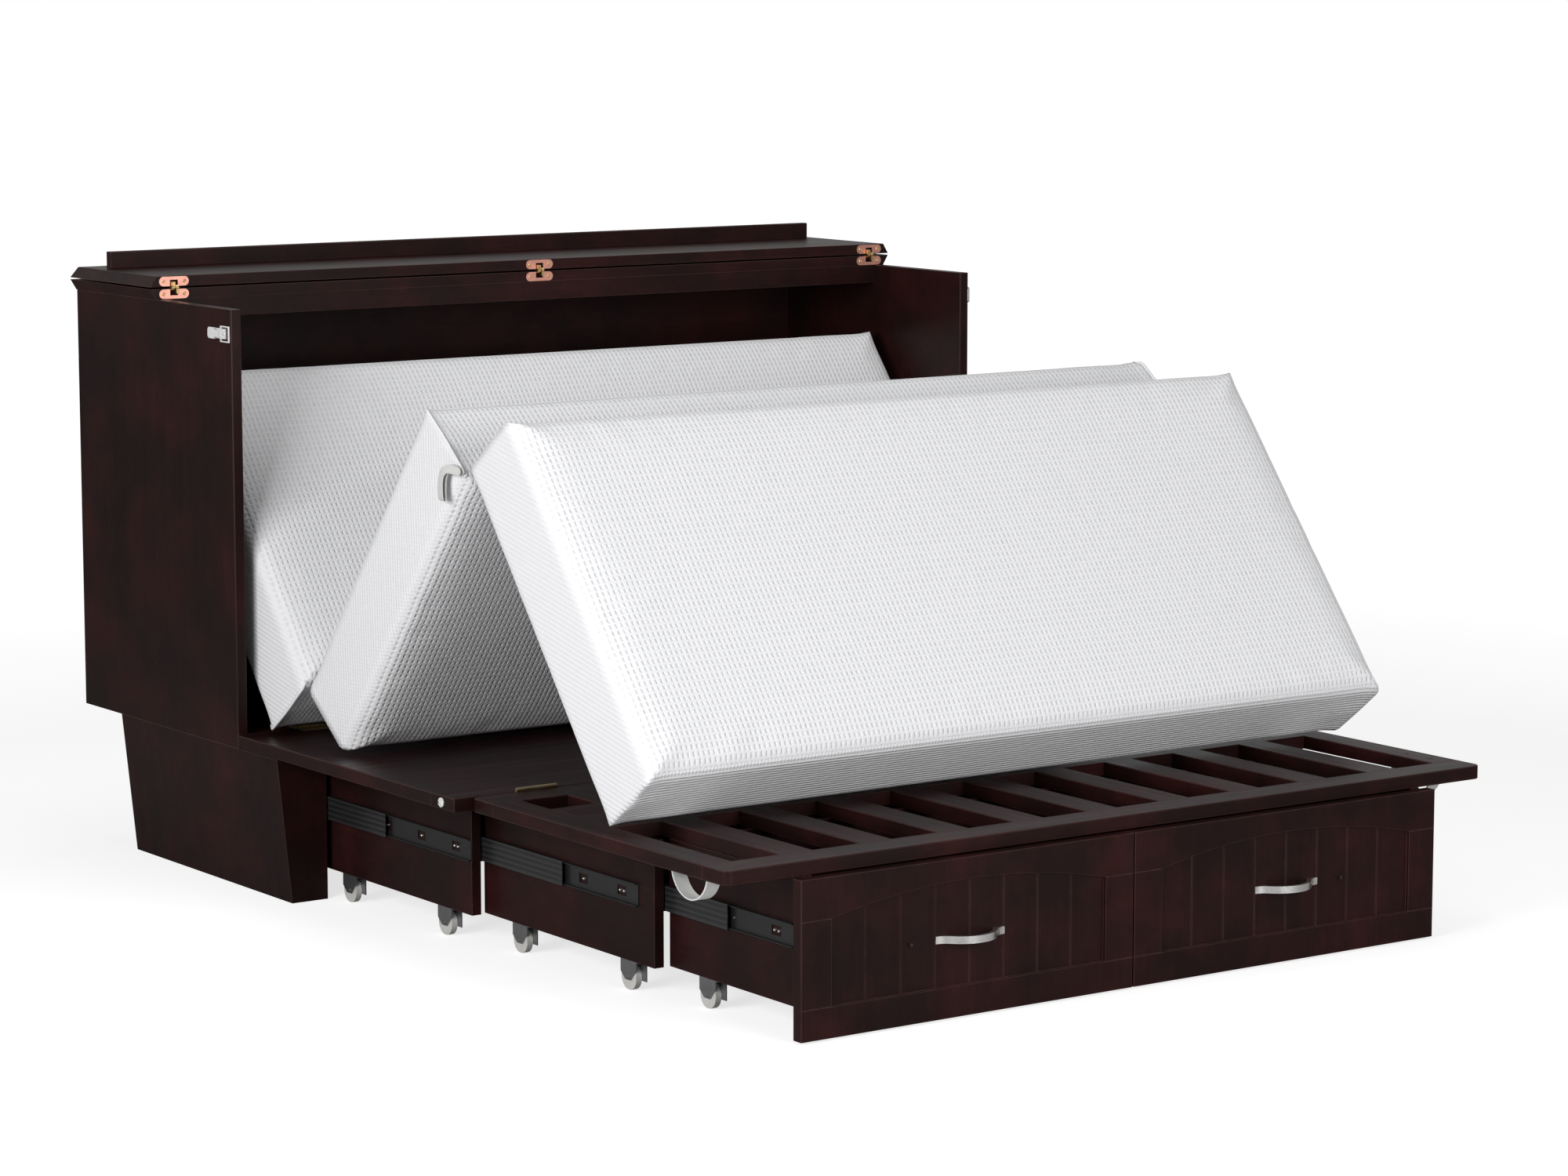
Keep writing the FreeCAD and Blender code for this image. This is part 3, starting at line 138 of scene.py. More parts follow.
class MetalProperties(bpy.types.PropertyGroup):
    """The fittings' metals."""
    copper: colour("Copper", "Lid hinge plates", (0.96, 0.46, 0.36))
    brass: colour("Brass", "Panel hinges", (0.72, 0.58, 0.34))
    nickel: colour("Nickel", "Drawer handles", (0.90, 0.88, 0.86))
    slide: colour("Slide steel", "Ball-bearing slides", (0.0105, 0.0105, 0.0115))
    slide_z: length("Slide middle", "Height of the slides' middle line", 0.164)
    slide_rib: length("Slide ribs", "Distance between the rolled ribs of the outer members", 0.0093)
    bracket: colour("Bracket steel", "Caster brackets", (0.34, 0.34, 0.35))
    screw: colour("Screw", "Bright screws", (0.72, 0.70, 0.67))
    gold: colour("Gold", "Screws in the lid hinges", (0.80, 0.56, 0.26))
    screw_r: length("Screw head", "Radius of the hinge screws' heads", 0.0032)
    small_screw_r: length("Small screw head", "Radius of the slide and latch screws' heads", 0.0028)
    screw_rise: length("Rise", "How far the hinge screws' heads stand out", 0.0009)
    window_rise: length("Window rise", "How far the slide screws' heads stand out", 0.0018)
    latch_rise: length("Latch rise", "How far the latch screws' heads stand out", 0.00072)
    latch_share: FloatProperty(name="Latch screws", description="Share of a latch plate's "
                               "length from its end to a screw", default=0.12)
    plate_screws: length("Plate screws", "Lid hinge screws from the plate's middle", 0.021)
    plate_min: length("Plate width", "A lid hinge part wider than this is a plate", 0.030)
    # painted shade: this dark colour stands in for the shade inside the holes
    hole: colour("Hole", "Inside of the dark holes", (0.004, 0.003, 0.003))
    hole_r: length("Strap hole", "Radius of the dark holes above the straps", 0.0042)
    small_hole_r: length("Small hole", "Radius of the dark holes on drawers and side panel", 0.0031)
    hole_rim: length("Hole rim", "How far a dark hole's rim stands proud", 0.0003)
    hole_dip: length("Hole depth", "How far the dark holes' dishes sink in", 0.00015)
    drawer_hole_x: length("Drawer holes", "From the bed's middle to the holes on the drawers", 0.450)
    strap_hole_gap: length("Strap hole gap", "From a strap's middle to the holes above it", 0.030)
    strap_hole_in: length("Strap hole inset", "From the side rail's edge to the strap's holes", 0.027)
    panel_hole_in: length("Panel hole inset", "From the side panel's rear edge to its holes", 0.005)
    panel_hole_low: length("Lower panel hole", "Height of the side panel's lower hole", 0.652)
    panel_hole_high: length("Upper panel hole", "Height of the side panel's upper hole", 0.922)
    window_first: length("First window", "First slide window from the member's front end", 0.048)
    window_pitch: length("Window pitch", "Distance from slide window to window", 0.115)
    window_last: length("Last window", "No window lies nearer to the rear end", 0.02)
    window_pair: length("Screw pair", "Half the distance of the two screws in the first window", 0.006)


class PlasticProperties(bpy.types.PropertyGroup):
    """Wheels, latches and straps."""
    wheel: colour("Wheel", "Caster wheels", (0.62, 0.61, 0.58))
    latch: colour("Latch", "Latches and keepers", (0.80, 0.80, 0.80))
    strap: colour("Strap", "Pull straps", (0.78, 0.78, 0.77))


class MattressProperties(bpy.types.PropertyGroup):
    """The folding mattress."""
    cover: colour("Cover", "Knit cover", (0.86, 0.86, 0.875))
    # painted shade: grey for the dimples' bottoms and the ribs' troughs, standing in for the shade in
    # their hollows
    painted_shade: colour("Dimples", "Bottom of the knit's dimples", (0.77, 0.77, 0.795))
    tape: colour("Tape", "Strap loop", (0.66, 0.66, 0.64))
    cell: length("Mesh size", "Edge of the mesh that is inflated", 0.014)
    grow: length("Growth", "How far the cover starts outside the plain slab", 0.003)
    swell: length("Swell", "Most that a point may move as the part fills out", 0.009)
    edge: length("Edge radius", "Rounding of the long edges", 0.026)
    column: length("Column pitch", "Distance between columns of dimples", 0.0098)
    row: length("Row pitch", "Distance between dimples in a column", 0.0120)
    rib: length("Rib pitch", "Distance between the border's ribs", 0.0082)
    slant: FloatProperty(name="Slant", description="How far the ribs on the ends are turned",
                         subtype="ANGLE", default=math.radians(40))
    end_relief: FloatProperty(name="End ribs", description="How strongly the ends' ribs show",
                              default=0.5)
    short_relief: FloatProperty(name="Short face ribs", description="How strongly the short "
                                "faces' ribs show", default=0.9)
    frames: IntProperty(name="Frames", description="Steps of the filling", default=16)
    weight: FloatProperty(name="Weight", description="The cloth's vertex mass", default=0.4)
    stretch: FloatProperty(name="Stretch", description="Stiffness against stretching", default=12)
    shear: FloatProperty(name="Shear", description="Stiffness against shearing", default=6)
    bend: FloatProperty(name="Bend", description="Stiffness against bending", default=2.5)
    pressure: FloatProperty(name="Pressure", description="Pressure of the filling", default=4)
    pressed: FloatProperty(name="Pressed", description="Thickness kept when folded away",
                           default=0.87)
    drawn_in: FloatProperty(name="Drawn in", description="Length the end cords keep when folded",
                            default=0.97)
    seam: length("Seam", "Radius of the cords sewn in at the folds", 0.0028)
    loop_w: length("Tape width", "Width of the strap loop", 0.018)
    loop_t: length("Tape thickness", "Thickness of the strap loop", 0.0016)
    loop_gap: length("Loop gap", "Distance between the loop's two runs of tape", 0.007)
    loop_reach: length("Loop", "How far the strap loop hangs from the fold", 0.074)


class StageProperties(bpy.types.PropertyGroup):
    """Camera, lamps and floor."""
    place: FloatVectorProperty(name="Camera", description="Where the camera stands",
                               unit="LENGTH", size=3, default=(-4.5623, -6.5334, 1.6618))
    turn: FloatProperty(name="Turn", description="Camera's turn from the bed's length",
                        subtype="ANGLE", default=math.radians(35.187))
    tilt: FloatProperty(name="Tilt", description="How far the camera looks down",
                        subtype="ANGLE", default=math.radians(8.0246))
    lens: FloatProperty(name="Lens", description="Focal length in millimetres", default=102.73)
    floor_r: length("Floor radius", "Radius of the floor", 30)
    floor: colour("Floor", "Tint of the floor", (0.50, 0.50, 0.50))
    glow: FloatProperty(name="Floor glow", description="Lift that keeps the floor white", default=0.74)
    glow_near: length("Glow from", "Where the lift starts to grow, from the middle", 2.2)
    glow_far: length("Glow to", "Where the lift is full, from the middle", 5.0)
    fill: FloatProperty(name="Fill", description="Light from all around", default=0.075)
    dim: FloatProperty(name="Reflections", description="What glossy surfaces see around", default=0.50)
    key: FloatProperty(name="Key", description="Power of the softbox on the left", default=200)
    front: FloatProperty(name="Front", description="Power of the low softbox in front", default=134)
    top: FloatProperty(name="Top", description="Power of the overhead softbox", default=44)


# ---------------------------------------------------------------- material helpers
class Nodes:
    """A material's node tree, with short calls for the nodes used here."""

    def __init__(self, name):
        self.material = bpy.data.materials.new(name)
        self.material.use_nodes = True
        self.tree = self.material.node_tree
        self.shader = self.tree.nodes["Principled BSDF"]

    def add(self, kind, **settings):
        node = self.tree.nodes.new(kind)
        for key, value in settings.items():
            setattr(node, key, value)
        return node

    def feed(self, value, socket):
        """Links a socket, or sets a plain value."""
        if isinstance(value, bpy.types.NodeSocket):
            self.tree.links.new(value, socket)
        elif value is not None:
            socket.default_value = value

    def math(self, operation, a, b=None):
        node = self.add("ShaderNodeMath", operation=operation)
        self.feed(a, node.inputs[0])
        self.feed(b, node.inputs[1])
        return node.outputs[0]

    def coordinates(self, scale=(1, 1, 1)):
        source = self.add("ShaderNodeTexCoord")
        mapping = self.add("ShaderNodeMapping")
        mapping.inputs["Scale"].default_value = scale
        self.feed(source.outputs["Object"], mapping.inputs["Vector"])
        return mapping.outputs["Vector"]

    def noise(self, vector, scale, detail=4.0, roughness=0.55):
        node = self.add("ShaderNodeTexNoise")
        self.feed(vector, node.inputs["Vector"])
        node.inputs["Scale"].default_value = scale
        node.inputs["Detail"].default_value = detail
        node.inputs["Roughness"].default_value = roughness
        return node.outputs["Fac"]

    def spread(self, value, low, high, to_low=0.0, to_high=1.0):
        node = self.add("ShaderNodeMapRange")
        self.feed(value, node.inputs["Value"])
        for key, number in zip((1, 2, 3, 4), (low, high, to_low, to_high)):
            node.inputs[key].default_value = number
        return node.outputs["Result"]

    def blend(self, amount, low, high):
        node = self.add("ShaderNodeMix", data_type="RGBA")
        self.feed(amount, node.inputs["Factor"])
        for value, socket in ((low, node.inputs[6]), (high, node.inputs[7])):
            self.feed((*value, 1) if isinstance(value, (tuple, list)) else value, socket)
        return node.outputs[2]

    def bump(self, height, distance, strength=1.0, normal=None):
        node = self.add("ShaderNodeBump")
        node.inputs["Distance"].default_value = distance
        node.inputs["Strength"].default_value = strength
        self.feed(height, node.inputs["Height"])
        if normal is not None:
            self.feed(normal, node.inputs["Normal"])
        return node.outputs["Normal"]

    def arris(self, radius):
        """Normals rounded at the edges, and how near to an edge each point is."""
        round_edge = self.add("ShaderNodeBevel", samples=4)
        round_edge.inputs["Radius"].default_value = radius
        flat = self.add("ShaderNodeNewGeometry")
        dot = self.add("ShaderNodeVectorMath", operation="DOT_PRODUCT")
        self.feed(round_edge.outputs[0], dot.inputs[0])
        self.feed(flat.outputs["Normal"], dot.inputs[1])
        return round_edge.outputs[0], self.spread(dot.outputs["Value"], 0.995, 0.86)

    def set(self, **values):
        for key, value in values.items():
            socket = self.shader.inputs[key.replace("_", " ")]
            self.feed(value, socket)
        return self.material


def rgb(prop):
    return tuple(prop)


def espresso(name, grain, wood):
    """Dark stained wood: blotchy stain, fine pores along the grain and a satin lacquer. Its edges are
    painted lighter, partly as worn stain and partly as painted highlight.

    grain holds the pattern's stretch along X, Y and Z: small along the board's length.
    """
    n = Nodes(name)
    blotch = n.noise(n.coordinates(), 1 / wood.mottle, 5.0, 0.62)
    streak = n.noise(n.coordinates(grain), wood.streaks, 5.0, 0.6)
    pores = n.noise(n.coordinates(grain), wood.pores, 3.0, 0.7)
    red = n.spread(blotch, 0.42, 0.72)
    red = n.math("MULTIPLY", red, n.spread(streak, 0.3, 0.75, 0.75, 1.0))
    tone = n.blend(red, rgb(wood.dark), rgb(wood.red))
    dark_pores = n.spread(pores, 0.35, 0.55, 0.75, 1.0)
    tone = n.blend(dark_pores, tuple(c * 0.4 for c in wood.dark), tone)
    rounded, edge = n.arris(wood.arris)
    # painted highlight: near the edges the stain is lightened towards the worn colour, partly as wear
    # and partly as painted highlight on the arrises
    rubbed = n.math("MULTIPLY", edge, n.spread(streak, 0.25, 0.7, 0.35, 1.0))
    tone = n.blend(rubbed, tone, rgb(wood.worn_and_highlight))
    rough = n.spread(streak, 0.3, 0.7, wood.roughness - 0.05, wood.roughness + 0.06)
    waves = n.bump(blotch, 0.0010, 0.10, rounded)
    fine = n.bump(pores, 0.00025, 0.22, waves)
    return n.set(Base_Color=tone, Roughness=rough, Normal=fine, Coat_Weight=wood.coat,
                 Coat_Roughness=wood.coat_roughness, Specular_IOR_Level=wood.specular)


def cast_metal(name, tint, roughness):
    """Plated or brushed metal with faint variation."""
    n = Nodes(name)
    spot = n.noise(n.coordinates(), 60.0, 3.0)
    fine = n.noise(n.coordinates(), 900.0, 2.0)
    tone = n.blend(n.spread(spot, 0.35, 0.7), tuple(c * 0.86 for c in tint), rgb(tint))
    rough = n.spread(fine, 0.3, 0.7, roughness - 0.06, roughness + 0.08)
    return n.set(Base_Color=tone, Metallic=1.0, Roughness=rough, Normal=n.bump(fine, 0.0001, 0.2))


def moulded(name, tint, roughness):
    """Moulded plastic or enamel with a slight orange-peel surface."""
    n = Nodes(name)
    peel = n.noise(n.coordinates(), 420.0, 2.0)
    dust = n.noise(n.coordinates(), 35.0, 4.0)
    tone = n.blend(n.spread(dust, 0.35, 0.75), tuple(c * 0.9 for c in tint), rgb(tint))
    rough = n.spread(dust, 0.3, 0.7, roughness - 0.05, roughness + 0.07)
    return n.set(Base_Color=tone, Roughness=rough, Normal=n.bump(peel, 0.0002, 0.15))


def rolled(name, metal):
    """Black slide steel with the long ribs that rolling leaves; the ribs' crests are painted lighter as
    highlight lines.
    """
    n = Nodes(name)
    height = n.add("ShaderNodeSeparateXYZ")
    n.feed(n.coordinates(), height.inputs[0])
    turns = n.math("DIVIDE", n.math("SUBTRACT", height.outputs[2], metal.slide_z),
                   metal.slide_rib)
    rib = n.math("COSINE", n.math("MULTIPLY", turns, 2 * math.pi))
    dust = n.noise(n.coordinates(), 90.0, 4.0)
    # painted highlight: the ribs' crests are painted up to 2.2 times lighter than the steel, standing
    # in for the light lines they catch
    tone = n.blend(n.spread(rib, 0.2, 1.0), rgb(metal.slide),
                   tuple(c * 2.2 for c in metal.slide))
    return n.set(Base_Color=tone, Roughness=n.spread(dust, 0.3, 0.7, 0.28, 0.40),
                 Normal=n.bump(rib, 0.0012, 0.35))


def webbing(name, tint):
    """Narrow woven tape."""
    n = Nodes(name)
    weave = n.noise(n.coordinates(), 900.0, 2.0)
    tone = n.blend(n.spread(weave, 0.3, 0.7), tuple(c * 0.78 for c in tint), rgb(tint))
    return n.set(Base_Color=tone, Roughness=0.85, Sheen_Weight=0.2,
                 Normal=n.bump(weave, 0.0004, 0.4))


def uv_axes(n):
    source = n.add("ShaderNodeUVMap", uv_map="weave")
    split = n.add("ShaderNodeSeparateXYZ")
    n.feed(source.outputs["UV"], split.inputs[0])
    return split.outputs[0], split.outputs[1]


def knit_top(soft):
    """The knit's wide faces: columns of short dimples, their bottoms tinted grey as painted shade."""
    n = Nodes("knit_top")
    u, v = uv_axes(n)
    column = n.math("DIVIDE", u, soft.column)
    row = n.math("DIVIDE", v, soft.row)
    across = n.math("ABSOLUTE", n.math("SUBTRACT", n.math("FRACT", column), 0.5))
    along = n.math("ABSOLUTE", n.math("SUBTRACT", n.math("FRACT", row), 0.5))
    narrow = n.spread(across, 0.05, 0.30, 1.0, 0.0)
    short = n.spread(along, 0.20, 0.42, 1.0, 0.0)
    dimple = n.math("MULTIPLY", narrow, short)
    wander = n.noise(n.coordinates(), 60.0, 3.0)
    dimple = n.math("MULTIPLY", dimple, n.spread(wander, 0.3, 0.7, 0.55, 1.0))
    yarn = n.noise(n.coordinates(), 1100.0, 2.0)
    # painted shade: the dimples are tinted towards the grey, standing in for the shade in their hollows
    tone = n.blend(dimple, rgb(soft.cover), rgb(soft.painted_shade))
    quilt = n.bump(n.math("SUBTRACT", 1.0, dimple), 0.0030, 0.6)
    return n.set(Base_Color=tone, Roughness=0.88, Sheen_Weight=0.25, Sheen_Roughness=0.5,
                 Normal=n.bump(yarn, 0.0003, 0.35, quilt))


def knit_border(soft, name, turn, relief):
    """The knit's borders: fine ribs, slanting on the ends and level on the short faces, with painted
    shade in the rib troughs.
    """
    n = Nodes(name)
    u, v = uv_axes(n)
    slanted = n.math("ADD", n.math("MULTIPLY", u, math.sin(turn)),
                     n.math("MULTIPLY", v, math.cos(turn)))
    crossing = n.math("SUBTRACT", n.math("MULTIPLY", u, math.cos(turn)),
                      n.math("MULTIPLY", v, math.sin(turn)))
    rib = n.math("SINE", n.math("MULTIPLY", slanted, 2 * math.pi / soft.rib))
    stitch = n.math("SINE", n.math("MULTIPLY", crossing, 2 * math.pi / (soft.rib * 0.8)))
    cloth = n.math("ADD", n.math("MULTIPLY", rib, 0.7), n.math("MULTIPLY", stitch, 0.3))
    level = n.spread(cloth, -1.0, 1.0)
    yarn = n.noise(n.coordinates(), 900.0, 2.0)
    # painted shade: the rib troughs are tinted towards the grey, standing in for the shade between the
    # ribs
    tone = n.blend(n.spread(cloth, -0.9, 0.5, 0.45, 1.0), rgb(soft.painted_shade), rgb(soft.cover))
    ribs = n.bump(level, 0.0020, relief)
    return n.set(Base_Color=tone, Roughness=0.9, Sheen_Weight=0.2,
                 Normal=n.bump(yarn, 0.0003, 0.35, ribs))


def finish(node_names, material):
    for name in node_names:
        mesh = NODES[name].data
        mesh.materials.clear()
        mesh.materials.append(material)


def islands(node):
    """The loose parts of a node: for each, its polygons' indices and its box's two corners."""
    mesh = NODES[node].data
    bm = bmesh.new()
    bm.from_mesh(mesh)
    bmesh.ops.remove_doubles(bm, verts=bm.verts, dist=SAME_POINT)
    bm.faces.ensure_lookup_table()
    seen = set()
    found = []
    for face in bm.faces:
        if face.index in seen:
            continue
        group = []
        queue = [face]
        seen.add(face.index)
        while queue:
            current = queue.pop()
            group.append(current)
            for edge in current.edges:
                for other in edge.link_faces:
                    if other.index not in seen:
                        seen.add(other.index)
                        queue.append(other)
        points = [v.co for f in group for v in f.verts]
        low = Vector([min(p[i] for p in points) for i in range(3)])
        high = Vector([max(p[i] for p in points) for i in range(3)])
        found.append(([f.index for f in group], low, high))
    bm.free()
    return found


def finish_narrow(node, limit, wide_material, narrow_material):
    """Gives a node's loose parts one of two materials by their width."""
    mesh = NODES[node].data
    mesh.materials.clear()
    mesh.materials.append(wide_material)
    mesh.materials.append(narrow_material)
    for polygons, low, high in islands(node):
        for index in polygons:
            mesh.polygons[index].material_index = 0 if high.x - low.x > limit else 1


# ---------------------------------------------------------------- mesh helpers
def new_piece(name, bm, body, materials, smooth=True):
    """Turns a bmesh into an object at the origin that rides on a body."""
    mesh = bpy.data.meshes.new(name)
    bm.to_mesh(mesh)
    bm.free()
    for material in materials:
        mesh.materials.append(material)
    if smooth:
        mesh.shade_smooth()
    piece = bpy.data.objects.new(name, mesh)
    bpy.context.scene.collection.objects.link(piece)
    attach(piece, body)
    return piece


def facing(direction, centre):
    """A matrix that turns +Z to a direction and moves to a place."""
    turn = Vector(direction).to_track_quat("Z", "Y").to_matrix().to_4x4()
    return Matrix.Translation(centre) @ turn


def add_screw(bm, centre, direction, radius, rise):
    """A pan-head screw with a dished recess, on the surface at centre."""
    place = facing(direction, centre)
    made = bmesh.ops.create_cone(bm, cap_ends=True, segments=18, radius1=radius,
                                 radius2=radius * SCREW_TOP, depth=rise,
                                 matrix=place @ Matrix.Translation((0, 0, rise / 2)))
    top = place @ Vector((0, 0, rise))
    faces = {f for v in made["verts"] for f in v.link_faces}
    cap = min(faces, key=lambda f: (f.calc_center_median() - top).length)
    bmesh.ops.inset_region(bm, faces=[cap], thickness=radius * SCREW_RIM)
    bmesh.ops.translate(bm, verts=cap.verts, vec=-Vector(direction) * rise * SCREW_SOCKET)


def add_hole(bm, centre, direction, radius, metal):
    """A dark countersunk hole's rim and dish, just proud of the surface at centre; the dark colour is
    painted shade in place of the hole's depth.
    """
    place = facing(direction, centre)
    made = bmesh.ops.create_cone(bm, cap_ends=True, segments=16, radius1=radius,
                                 radius2=radius * HOLE_TOP, depth=metal.hole_rim,
                                 matrix=place @ Matrix.Translation((0, 0, metal.hole_rim / 2)))
    top = place @ Vector((0, 0, metal.hole_rim))
    faces = {f for v in made["verts"] for f in v.link_faces}
    cap = min(faces, key=lambda f: (f.calc_center_median() - top).length)
    bmesh.ops.inset_region(bm, faces=[cap], thickness=radius * HOLE_EDGE)
    bmesh.ops.translate(bm, verts=cap.verts, vec=-Vector(direction) * metal.hole_dip)


def sweep(bm, places, ring):
    """Carries a ring of points along a row of matrices, with a face at both ends."""
    made = [bm.verts.new(places[0] @ Vector(point)) for point in ring]
    edges = [bm.edges.new((made[i], made[(i + 1) % len(made)])) for i in range(len(made))]
    bm.faces.new(made)
    for before, after in zip(places, places[1:]):
        grown = bmesh.ops.extrude_edge_only(bm, edges=edges)["geom"]
        verts = [g for g in grown if isinstance(g, bmesh.types.BMVert)]
        edges = [g for g in grown if isinstance(g, bmesh.types.BMEdge)
                 and g.verts[0] in verts and g.verts[1] in verts]
        bmesh.ops.transform(bm, matrix=after @ before.inverted(), verts=verts)
    bmesh.ops.holes_fill(bm, edges=edges)
    bmesh.ops.recalc_face_normals(bm, faces=bm.faces)


def along(points, side):
    """A matrix at each point: Z along the row of points, X as near to side as it can be."""
    places = []
    for i, point in enumerate(points):
        z = (points[min(i + 1, len(points) - 1)] - points[max(i - 1, 0)]).normalized()
        y = z.cross(side[i] if isinstance(side, list) else side).normalized()
        x = y.cross(z)
        places.append(Matrix.Translation(point) @ Matrix((x, y, z)).transposed().to_4x4())
    return places


class Slab:
    """A leaning mattress part's own directions, read from its plain solid."""

    def __init__(self, node):
        points = []
        for vertex in NODES[node].data.vertices:
            flat = Vector((vertex.co.y, vertex.co.z))
            if all((flat - p).length > CUT_WIDTH for p in points):
                points.append(flat)
        self.half_width = max(v.co.x for v in NODES[node].data.vertices)
        middle = sum(points, Vector((0, 0))) / len(points)
        points.sort(key=lambda p: math.atan2(p.y - middle.y, p.x - middle.x))
        sides = [points[(i + 1) % 4] - points[i] for i in range(4)]
        long_side = max(sides[:2], key=lambda s: s.length)
        short_side = min(sides[:2], key=lambda s: s.length)
        self.half_long = long_side.length / 2
        self.half_thick = short_side.length / 2
        lean = long_side.normalized()
        if lean.y < 0:
            lean = -lean
        self.along = Vector((0, lean.x, lean.y))
        self.across = Vector((1, 0, 0)).cross(self.along)
        self.centre = Vector((0, middle.x, middle.y))

    def matrix(self):
        """Turns a place in the part's own directions (width, length, thickness) to the world's."""
        axes = Matrix((Vector((1, 0, 0)), self.along, self.across)).transposed()
        return Matrix.Translation(self.centre) @ axes.to_4x4()


def inflate(piece, soft):
    """Fills a closed cover with a little pressure; no point moves further than the swell."""
    start = [v.co.copy() for v in piece.data.vertices]
    cloth = piece.modifiers.new("cloth", "CLOTH")
    settings = cloth.settings
    settings.quality = 4
    settings.mass = soft.weight
    settings.tension_stiffness = soft.stretch
    settings.compression_stiffness = soft.stretch
    settings.shear_stiffness = soft.shear
    settings.bending_stiffness = soft.bend
    settings.use_pressure = True
    settings.uniform_pressure_force = soft.pressure
    settings.effector_weights.gravity = 0
    cloth.point_cache.frame_start = 1
    cloth.point_cache.frame_end = soft.frames
    scene = bpy.context.scene
    for step in range(1, soft.frames + 1):
        scene.frame_set(step)
    settled = piece.evaluated_get(bpy.context.evaluated_depsgraph_get()).to_mesh()
    moved = [v.co.copy() for v in settled.vertices]
    piece.evaluated_get(bpy.context.evaluated_depsgraph_get()).to_mesh_clear()
    piece.modifiers.remove(cloth)
    scene.frame_set(1)
    for vertex, old, new in zip(piece.data.vertices, start, moved):
        step = new - old
        if step.length > soft.swell:
            step = step.normalized() * soft.swell
        vertex.co = old + step


def slab_mesh(slab, soft):
    """A box with rounded long edges, in the slab's own directions, with an even mesh."""
    bm = bmesh.new()
    bmesh.ops.create_cube(bm, size=2)
    size = Vector((slab.half_width, slab.half_long, slab.half_thick)) + Vector((soft.grow,) * 3)
    bmesh.ops.scale(bm, vec=size, verts=bm.verts)
    rounded = [e for e in bm.edges if abs(e.verts[0].co.z - e.verts[1].co.z) < SAME_POINT]
    bmesh.ops.bevel(bm, geom=rounded, offset=soft.edge, offset_type="OFFSET", affect="EDGES",
                    segments=4, profile=0.5, material=-1)
    for axis in range(3):
        extent = size[axis] * 2
        cuts = int(extent / soft.cell)
        for i in range(1, cuts):
            place = Vector((0, 0, 0))
            place[axis] = -size[axis] + extent * i / cuts
            normal = Vector((0, 0, 0))
            normal[axis] = 1
            geom = list(bm.verts) + list(bm.edges) + list(bm.faces)
            bmesh.ops.bisect_plane(bm, geom=geom, dist=CUT_WIDTH, plane_co=place, plane_no=normal)
    bmesh.ops.remove_doubles(bm, verts=bm.verts, dist=CUT_WIDTH)
    return bm


def dress(piece, slab, open_end):
    """Gives each face its cloth and its place in the weave, in the slab's own directions.

    open_end is +1 or -1 for a short face with ribs, which no fold joins, and 0 for none.
    """
    mesh = piece.data
    to_slab = slab.matrix().inverted()
    layer = mesh.uv_layers.new(name="weave")
    turn = to_slab.to_3x3()
    for polygon in mesh.polygons:
        normal = turn @ polygon.normal
        weights = [abs(normal.x), abs(normal.y), abs(normal.z) * KNIT_WRAP]
        kind = weights.index(max(weights))
        polygon.material_index = (1, 2 if normal.y * open_end > 0 else 0, 0)[kind]
        for loop in polygon.loop_indices:
            local = to_slab @ mesh.vertices[mesh.loops[loop].vertex_index].co
            layer.data[loop].uv = ((local.y, local.z), (local.x, local.z), (local.x, local.y))[kind]


def end_seam(piece, slab, side, short):
    """The points where one end meets one short face, in order through the part's thickness."""
    mesh = piece.data
    to_slab = slab.matrix().inverted()
    uses = {}
    for polygon in mesh.polygons:
        if polygon.material_index == 1 and mesh.vertices[polygon.vertices[0]].co.x * side > 0:
            for key in polygon.edge_keys:
                uses[key] = uses.get(key, 0) + 1
    rim = {i for key, count in uses.items() if count == 1 for i in key}
    places = [(to_slab @ mesh.vertices[i].co, mesh.vertices[i].co.copy()) for i in rim]
    reach = max(local.y * short for local, _ in places)
    chosen = [p for p in places if p[0].y * short > reach - SEAM_SEARCH]
    chosen.sort(key=lambda pair: pair[0].z)
    return [world for _, world in chosen]


def seam_cords(piece, node, slab, soft, cloth):
    """A thin cord sewn in where each end meets the fold."""
    bm = bmesh.new()
    angles = [math.radians(60 * i) for i in range(6)]
    ring = [(soft.seam * math.cos(a), soft.seam * math.sin(a), 0) for a in angles]
    short = 1 if node == "mattress_middle" else -1
    for side in (-1, 1):
        points = end_seam(piece, slab, side, short)
        sweep(bm, along(points, Vector((1, 0, 0))), ring)
    return new_piece(node + "_seams", bm, node, [cloth])


# ---------------------------------------------------------------- operators
class CABINETBED_OT_wood(bpy.types.Operator):
    """Stain and lacquer on every board, with the grain along its length"""
    bl_idname = "cabinetbed.wood"
    bl_label = "Finish the Wood"

    def execute(self, context):
        wood = context.scene.cabinet_bed_wood
        across = [n for n in DARK_BOARDS
                  if n not in UPRIGHT_BOARDS and n not in LENGTHWISE_BOARDS]
        finish(across, espresso("espresso_crosswise", (wood.drawn_out, 1, 1), wood))
        finish(UPRIGHT_BOARDS, espresso("espresso_upright", (1, 1, wood.drawn_out), wood))
        finish(LENGTHWISE_BOARDS, espresso("espresso_lengthwise", (1, wood.drawn_out, 1), wood))
        return {"FINISHED"}


